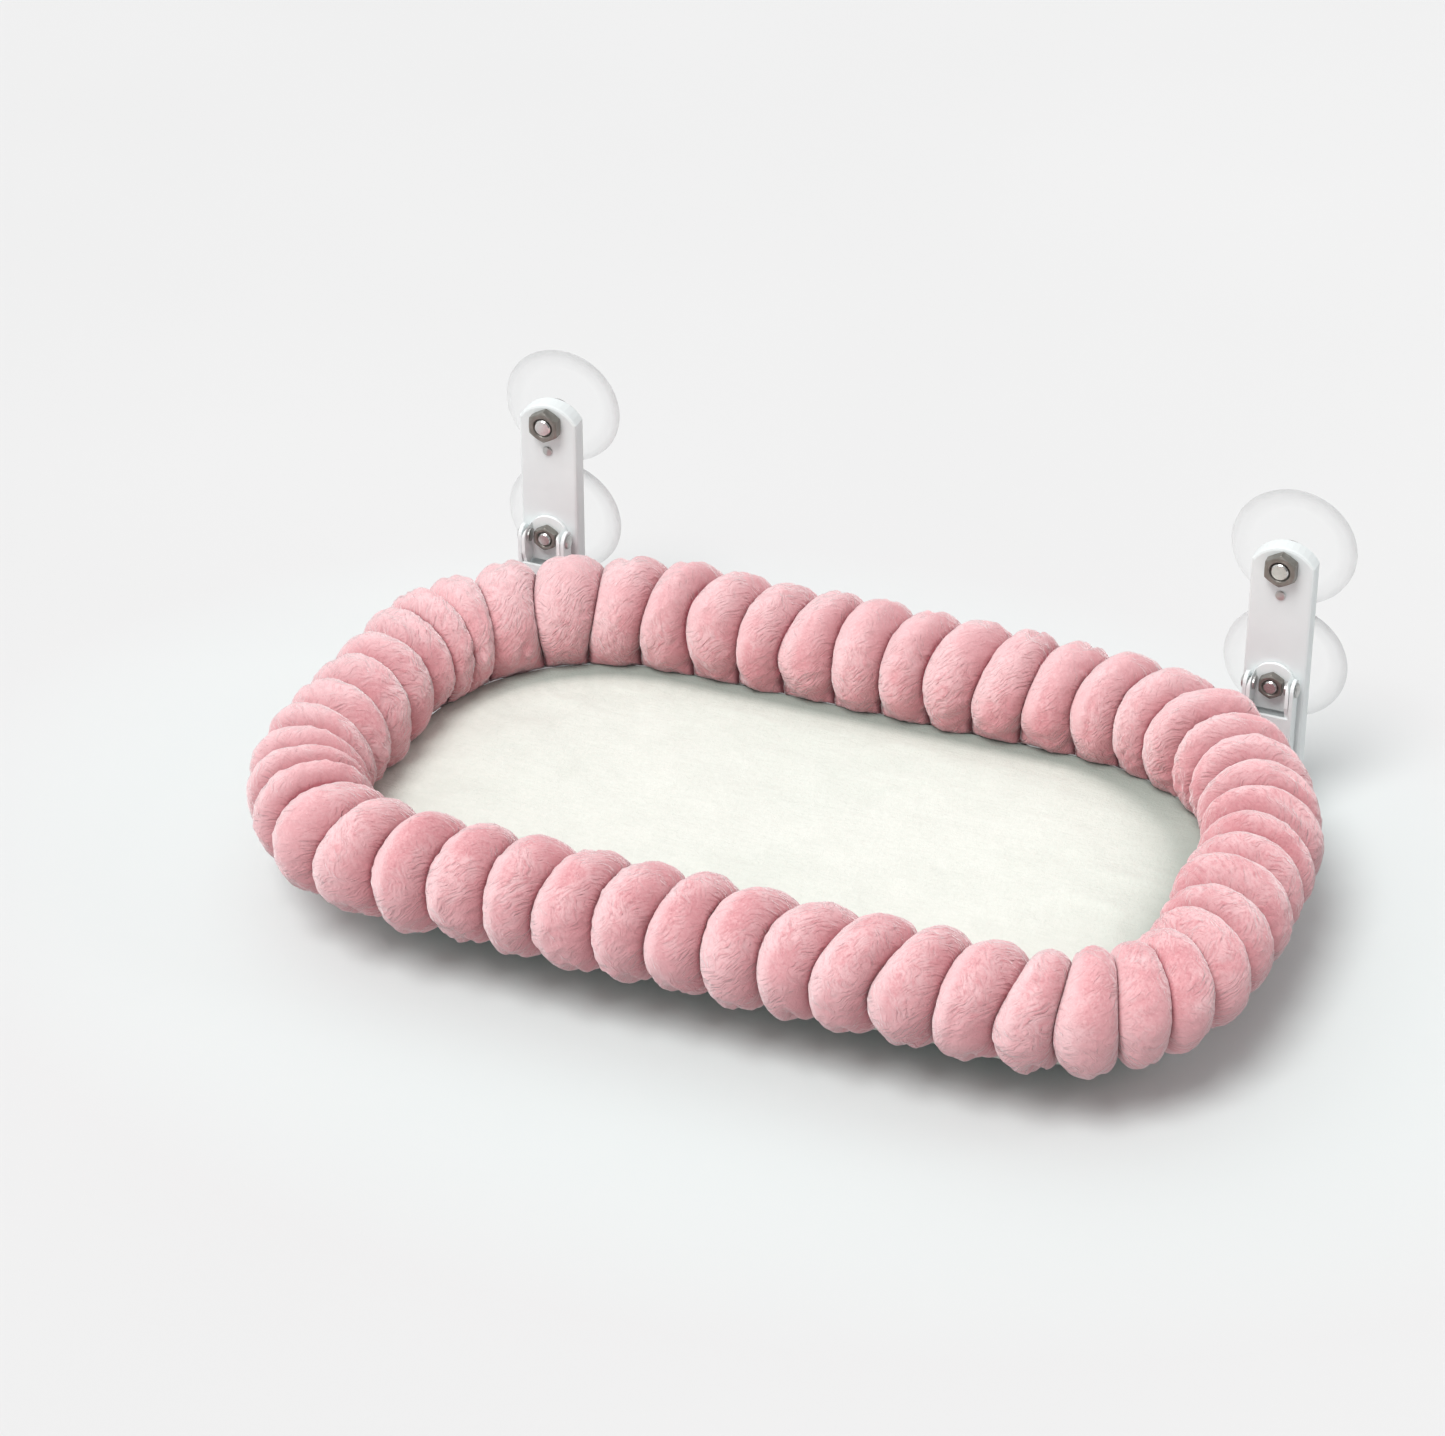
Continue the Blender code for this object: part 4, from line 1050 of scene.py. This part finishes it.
def thread_run(name, points, normals, pitch, length, radius, mat, body="bed"):
    """A row of sewing stitches: short rounded threads along a line on a surface."""
    points, normals = np.asarray(points, float), np.asarray(normals, float)
    seg = np.linalg.norm(np.diff(points, axis=0), axis=1)
    d = np.concatenate([[0.0], np.cumsum(seg)])
    verts, faces = [], []
    count = int(d[-1] / pitch)
    for i in range(count):
        c = (i + 0.5) * pitch
        p = np.array([np.interp(c, d, points[:, j]) for j in range(3)])
        q = np.array([np.interp(c + 0.05, d, points[:, j]) for j in range(3)])
        nn = np.array([np.interp(c, d, normals[:, j]) for j in range(3)])
        tan = (q - p) / max(np.linalg.norm(q - p), 1e-9)
        nn = nn / np.linalg.norm(nn)
        side = np.cross(tan, nn)
        base = len(verts)
        for along, rr, lift in ((-0.5, 0.35, -0.35), (-0.30, 0.95, 0.20), (0.0, 1.0, 0.45), (0.30, 0.95, 0.20), (0.5, 0.35, -0.35)):
            for k in range(6):
                a = 2 * math.pi * k / 6
                verts.append(p + tan * along * length + nn * (lift * radius + math.sin(a) * rr * radius)
                             + side * math.cos(a) * rr * radius)
        for r in range(4):
            for k in range(6):
                q2 = (k + 1) % 6
                faces.append((base + r * 6 + k, base + r * 6 + q2, base + (r + 1) * 6 + q2, base + (r + 1) * 6 + k))
        faces.append(tuple(base + k for k in reversed(range(6))))
        faces.append(tuple(base + 24 + k for k in range(6)))
    ob = mesh_object(name, np.array(verts) * MM, faces)
    paint(ob, mat)
    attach(ob, body)
    return ob


def sling_stitches():
    """Two rows through hem and panel, on the panel's underside."""
    out = []
    s = np.linspace(0, ring.length, 900)
    x, y, nx, ny = ring.at(s)
    for tag, off, z, up in (("low_outer", -13.2, -129.0, -1), ("low_inner", -20.8, -129.0, -1)):
        pts = np.stack([x + nx * off, y + ny * off, np.full_like(x, z)], axis=-1)
        nrm = np.tile([0.0, 0.0, float(up)], (len(s), 1))
        out.append(thread_run("sling_stitch_" + tag, pts, nrm, 3.6, 2.7, 0.22, M_THREAD))
    return out


def sling_bindings(cuts):
    """Tape bound over the edges of the four cut-outs."""
    out = []
    for i, (lo, hi) in enumerate(cuts):
        path, nrm = [], []
        a_in, a_out = math.radians(178.0), math.radians(359.5)

        def at(sv, ang):
            x, y, nx, ny = (float(v[0]) for v in ring.at(np.array([sv]))[0:4])
            u, w = 9.15 * math.cos(ang), 9.15 * math.sin(ang)
            return (x + nx * u, y + ny * u, RING_Z + w), (nx * math.cos(ang), ny * math.cos(ang), math.sin(ang))

        for k in range(25):
            path.append(at(lo, a_in + (a_out - a_in) * k / 24))
        for k in range(1, 20):
            path.append(at(lo + (hi - lo) * k / 20, a_out))
        for k in range(25):
            path.append(at(hi, a_out + (a_in - a_out) * k / 24))
        for k in range(1, 20):
            path.append(at(hi + (lo - hi) * k / 20, a_in))
        pts = np.array([p for p, _ in path])
        nrm = np.array([q for _, q in path])
        tan = np.roll(pts, -1, 0) - np.roll(pts, 1, 0)
        tan /= np.maximum(np.linalg.norm(tan, axis=1, keepdims=True), 1e-9)
        nrm = nrm - (nrm * tan).sum(1, keepdims=True) * tan
        nrm /= np.maximum(np.linalg.norm(nrm, axis=1, keepdims=True), 1e-9)
        side = np.cross(tan, nrm)
        ring_v = []
        for k in range(12):
            a = 2 * math.pi * k / 12
            ca, sa = math.cos(a), math.sin(a)
            wide = 1.7 * math.copysign(abs(ca) ** 0.6, ca)
            high = 0.68 * math.copysign(abs(sa) ** 0.8, sa)
            ring_v.append(pts + side * wide + nrm * high)
        V = np.stack(ring_v, axis=1)
        ob = mesh_object("sling_binding_%d" % i, V.reshape(-1, 3) * MM,
                         [tuple(q) for q in grid_faces(len(pts), 12)])
        paint(ob, M_WEB)
        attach(ob, "bed")
        out.append(ob)
    return out


# ---- tie straps ---------------------------------------------------------------------------------------------
def make_strap(name, node, x0, y0, ny_dir):
    """Webbing round the sleeve: a closed flat tape with ribbed selvedges and a lapped end."""
    n_arc, half = 96, 10.0
    across = np.concatenate([np.linspace(-half, -half + 1.6, 4), np.linspace(-half + 2.2, half - 2.2, 19),
                             np.linspace(half - 1.6, half, 4)])
    a0, a1 = math.radians(66), math.radians(-142)
    top, low = [], []
    for i in range(n_arc + 1):
        f = i / n_arc
        ang = a0 + (a1 - a0) * f
        for rows_out, side in ((top, 1), (low, -1)):
            row = []
            for w in across:
                e = half - abs(w)
                t2 = 0.60 * (1 - 0.55 * math.exp(-e / 0.5))
                if 1.0 < e < 2.4:
                    t2 += 0.05
                ripple = 0.05 * math.sin(i * 1.9 + 0.4 * math.sin(w))
                r = 10.45 + side * (t2 + (ripple if side > 0 else 0))
                if f < 0.02 or f > 0.98:
                    r -= side * 0.22
                u, z = r * math.cos(ang), r * math.sin(ang)
                row.append((x0 + w, y0 + ny_dir * u, RING_Z + z))
            rows_out.append(row)
    T, L = np.array(top), np.array(low)
    m = len(across)
    verts = np.vstack([T.reshape(-1, 3), L.reshape(-1, 3)])
    base = T.shape[0] * m
    faces = []
    for q in grid_faces(n_arc + 1, m, False, False):
        faces.append(tuple(q))
        faces.append(tuple(q[::-1] + base))
    for i in range(n_arc):
        for k in (0, m - 1):
            a, b = i * m + k, (i + 1) * m + k
            faces.append((a, b, b + base, a + base))
    for k in range(m - 1):
        for i in (0, n_arc):
            a, b = i * m + k, i * m + k + 1
            faces.append((a, b, b + base, a + base))
    ob = mesh_object(name, verts * MM, faces)
    bm = bmesh.new()
    bm.from_mesh(ob.data)
    bmesh.ops.recalc_face_normals(bm, faces=bm.faces[:])
    bm.to_mesh(ob.data)
    bm.free()
    ob.data.set_sharp_from_angle(angle=math.radians(50))
    paint(ob, M_WEB)
    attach(ob, "bed")
    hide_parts(node)
    # sewn square where the tape is lapped, below the ring
    pts, nrm = [], []
    c0, c1 = math.radians(-72), math.radians(-118)
    corners = [(c0, -6.5), (c0, 6.5), (c1, 6.5), (c1, -6.5), (c0, -6.5), (c1, 6.5)]
    for (aa, wa), (ab, wb) in zip(corners, corners[1:]):
        for k in range(12):
            g = k / 12
            ang, w = aa + (ab - aa) * g, wa + (wb - wa) * g
            pts.append((x0 + w, y0 + ny_dir * 11.08 * math.cos(ang), RING_Z + 11.08 * math.sin(ang)))
            nrm.append((0.0, ny_dir * math.cos(ang), math.sin(ang)))
    thread_run(name + "_stitches", pts, nrm, 2.3, 1.8, 0.16, M_THREAD)
    return ob


M_THREAD = cloth("thread", (0.60, 0.59, 0.56), (0.74, 0.73, 0.70), 0.0006, 0.1)
stitch_pieces = sling_stitches()
binding_pieces = sling_bindings(sling_cuts)


RING_FRONT, RING_BACK = BED_FRONT + RING_INSET, BED_BACK - RING_INSET
make_strap("strap_front_left", "tie_strap_front_left", -110.0, RING_FRONT, -1)
make_strap("strap_front_right", "tie_strap_front_right", 110.0, RING_FRONT, -1)
make_strap("strap_back_left", "tie_strap_back_left", -80.0, RING_BACK, 1)
make_strap("strap_back_right", "tie_strap_back_right", 80.0, RING_BACK, 1)


# ---- nuts, studs and softened edges of the hard pieces ------------------------------------------------------
def make_nut(name, node, x, z, across, thick, seat, bore):
    """Hexagon nut: chamfered corners, countersunk bore, two upright flats."""
    steps, half = 96, across / 2
    face = seat - thick
    bm = bmesh.new()
    ang = [2 * math.pi * k / steps for k in range(steps)]
    hexr = [half / math.cos((a - math.radians(30)) % math.radians(60) - math.radians(30)) for a in ang]
    inner = half - 0.35
    loops = []
    for kind in ("bore_front", "countersink", "face", "chamfer", "back_chamfer", "back", "bore_back"):
        ring_v = []
        for a, h in zip(ang, hexr):
            cut = (h - inner) * math.tan(math.radians(30))
            r, y = {"bore_front": (bore, face + 0.9), "countersink": (bore + 0.75, face + 0.05),
                    "face": (inner, face), "chamfer": (h, face + cut),
                    "back_chamfer": (h, seat - cut * 0.7), "back": (inner, seat),
                    "bore_back": (bore, seat)}[kind]
            ring_v.append(bm.verts.new(((x + r * math.cos(a)) * MM, y * MM, (z + r * math.sin(a)) * MM)))
        loops.append(ring_v)
    for i in range(len(loops)):
        a, b = loops[i], loops[(i + 1) % len(loops)]
        for k in range(steps):
            q = (k + 1) % steps
            bm.faces.new((a[k], a[q], b[q], b[k]))
    ob = bm_object(name, bm, 22)
    soft = ob.modifiers.new("edges", "BEVEL")
    soft.width, soft.segments, soft.limit_method = 0.18 * MM, 2, "ANGLE"
    soft.angle_limit = math.radians(24)
    paint(ob, M_DARK)
    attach(ob, "brackets")
    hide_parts(node)
    return ob


def make_stud(name, node, x, z, r, head_r, end, pitch):
    """Threaded stud with its flat head in the cup's hub and a chamfered, domed end."""
    prof = [(0, -7.0), (head_r - 0.5, -7.0), (head_r, -7.4), (head_r, -9.9), (head_r - 0.4, -10.3),
            (r * 0.96, -10.3), (r * 0.96, -12.0)]
    y = -12.0
    while y - pitch > end + 0.9:
        prof += [(r * 0.90, y - 0.10 * pitch), (r, y - 0.5 * pitch), (r * 0.90, y - 0.9 * pitch)]
        y -= pitch
    prof += [(r * 0.97, end + 0.75), (r - 0.75, end + 0.06), (r * 0.5, end - 0.0), (0, end)]
    ob = turned(name, prof, (x, 0, z), "y", 56, 28)
    paint(ob, M_BRIGHT)
    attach(ob, "brackets")
    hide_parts(node)
    return ob


UPPER_SEAT, LOWER_SEAT = PLATE_FRONT - 0.3, PLATE_FRONT - 2.6
for side, tag in ((-1, "left"), (1, "right")):
    x = side * BRACKET_X
    make_nut("nut_upper_" + tag, "upper_nut_" + tag, x, 0.0, 17.0, 6.5, UPPER_SEAT, 5.3)
    make_nut("nut_lower_" + tag, "lower_nut_" + tag, x, -CUP_PITCH, 13.0, 5.5, LOWER_SEAT, 4.3)
    make_stud("stud_upper_" + tag, "upper_stud_" + tag, x, 0.0, 5.0, 8.0, UPPER_SEAT - 7.1, 1.5)
    make_stud("stud_lower_" + tag, "lower_stud_" + tag, x, -CUP_PITCH, 4.0, 7.0, LOWER_SEAT - 6.1, 1.25)

for name, ob in NODES.items():
    if ob.hide_render:
        continue
    if name.startswith(("wall_plate", "hinge_bracket", "arm_", "saddle_screw", "ring_saddle", "pivot_rivet",
                        "plate_rivet", "heel_bumper")):
        soft = ob.modifiers.new("edges", "BEVEL")
        soft.width = (0.45 if name.startswith(("wall_plate", "arm_", "ring_saddle")) else 0.22) * MM
        soft.segments, soft.limit_method = 2, "ANGLE"
        soft.angle_limit = math.radians(40)


# ---- floor, lights, camera -------------------------------------------------------------------------------
def make_floor():
    ob = mesh_object("floor", [(-6, -6, FLOOR_Z * MM), (6, -6, FLOOR_Z * MM),
                               (6, 6, FLOOR_Z * MM), (-6, 6, FLOOR_Z * MM)], [(0, 1, 2, 3)], False)
    k = Mat("floor_paper")
    tone = k.noise(2.5, 2.0, 0.5)
    c = k.mix(k.ramp(tone, 0.35, 0.7), (0.728, 0.730, 0.734), (0.738, 0.740, 0.744))
    grad = k.t.nodes.new("ShaderNodeTexGradient")
    grad.gradient_type = "SPHERICAL"
    place = k.t.nodes.new("ShaderNodeMapping")
    place.vector_type = "TEXTURE"
    place.inputs["Location"].default_value = (0.0, -0.20, FLOOR_Z * MM)
    place.inputs["Scale"].default_value = (0.50, 0.36, 1.0)
    k.link(k.coord, place.inputs["Vector"])
    k.link(place.outputs[0], grad.inputs["Vector"])
    # paler, greener patch round the bed: painted light against the bed's shadow and its pink bounce light
    near = k.ramp(grad.outputs["Fac"], 0.0, 0.60, 0.0, 1.0)
    c = k.mix(near, c, (0.762, 0.834, 0.829))
    k.set(Base_Color=c, Roughness=0.9, Specular_IOR_Level=0.1)
    geo = k.t.nodes.new("ShaderNodeNewGeometry")
    clear = k.t.nodes.new("ShaderNodeBsdfTransparent")
    mixer = k.t.nodes.new("ShaderNodeMixShader")
    k.link(geo.outputs["Backfacing"], mixer.inputs[0])
    k.link(k.b.outputs[0], mixer.inputs[1])
    k.link(clear.outputs[0], mixer.inputs[2])
    k.link(mixer.outputs[0], k.out.inputs[0])
    paint(ob, k.m)
    return ob


def area_light(name, location, target, size, power, colour=(1, 1, 1)):
    data = bpy.data.lights.new(name, "AREA")
    data.shape = "RECTANGLE"
    data.size, data.size_y = size
    data.energy = power
    data.color = colour
    ob = bpy.data.objects.new(name, data)
    ob.location = location
    ob.rotation_mode = "QUATERNION"
    ob.rotation_quaternion = (Vector(target) - Vector(location)).to_track_quat("-Z", "Y")
    bpy.context.scene.collection.objects.link(ob)
    return ob


make_floor()
TARGET = Vector((0.0, -0.19, -0.12))
area_light("rim_right", TARGET + Vector((1.3, 0.35, 0.95)) * 1.6, TARGET, (0.9, 0.9), 4.0)
sun = bpy.data.lights.new("key", "SUN")
sun.energy = 2.03
sun.angle = math.radians(28)
sun.color = (1.0, 0.995, 0.985)
key = bpy.data.objects.new("key", sun)
key.rotation_mode = "QUATERNION"
key.rotation_quaternion = Vector((0.13, 0.55, -1.0)).to_track_quat("-Z", "Y")
bpy.context.scene.collection.objects.link(key)


def studio_world():
    """White surround, brighter from the left than from the right."""
    world = bpy.data.worlds.new("studio")
    world.use_nodes = True
    tree = world.node_tree
    back = tree.nodes["Background"]
    coord = tree.nodes.new("ShaderNodeTexCoord").outputs["Generated"]
    dot = tree.nodes.new("ShaderNodeVectorMath")
    dot.operation = "DOT_PRODUCT"
    tree.links.new(coord, dot.inputs[0])
    dot.inputs[1].default_value = Vector((-0.84, 0.16, 0.42)).normalized()
    ramp = tree.nodes.new("ShaderNodeMapRange")
    ramp.inputs["From Min"].default_value = -1.0
    ramp.inputs["From Max"].default_value = 1.0
    ramp.inputs["To Min"].default_value = 0.17
    ramp.inputs["To Max"].default_value = 0.86
    tree.links.new(dot.outputs["Value"], ramp.inputs["Value"])
    tree.links.new(ramp.outputs[0], back.inputs["Strength"])
    back.inputs["Color"].default_value = (1.0, 1.0, 1.0, 1.0)
    bpy.context.scene.world = world


studio_world()

az, el, dist = math.radians(20.54), math.radians(33.69), 2.38335
yaw, pitch = math.radians(21.76), math.radians(32.56)
eye = Vector((dist * math.sin(az) * math.cos(el), -dist * math.cos(az) * math.cos(el) - 0.18,
              dist * math.sin(el) - 0.11))
right = Vector((math.cos(yaw), math.sin(yaw), 0.0))
ahead = Vector((-math.sin(yaw) * math.cos(pitch), math.cos(yaw) * math.cos(pitch), -math.sin(pitch)))
up = right.cross(ahead)
cam_data = bpy.data.cameras.new("camera")
cam_data.sensor_width = 36.0
cam_data.lens = 4442.61 / 1445.0 * 36.0
cam_data.clip_start, cam_data.clip_end = 0.05, 50.0
cam = bpy.data.objects.new("camera", cam_data)
cam.matrix_world = Matrix(((right.x, up.x, -ahead.x, eye.x), (right.y, up.y, -ahead.y, eye.y),
                           (right.z, up.z, -ahead.z, eye.z), (0, 0, 0, 1)))
bpy.context.scene.collection.objects.link(cam)
bpy.context.scene.camera = cam
bpy.context.scene.view_settings.view_transform = "Standard"

bpy.context.view_layer.update()
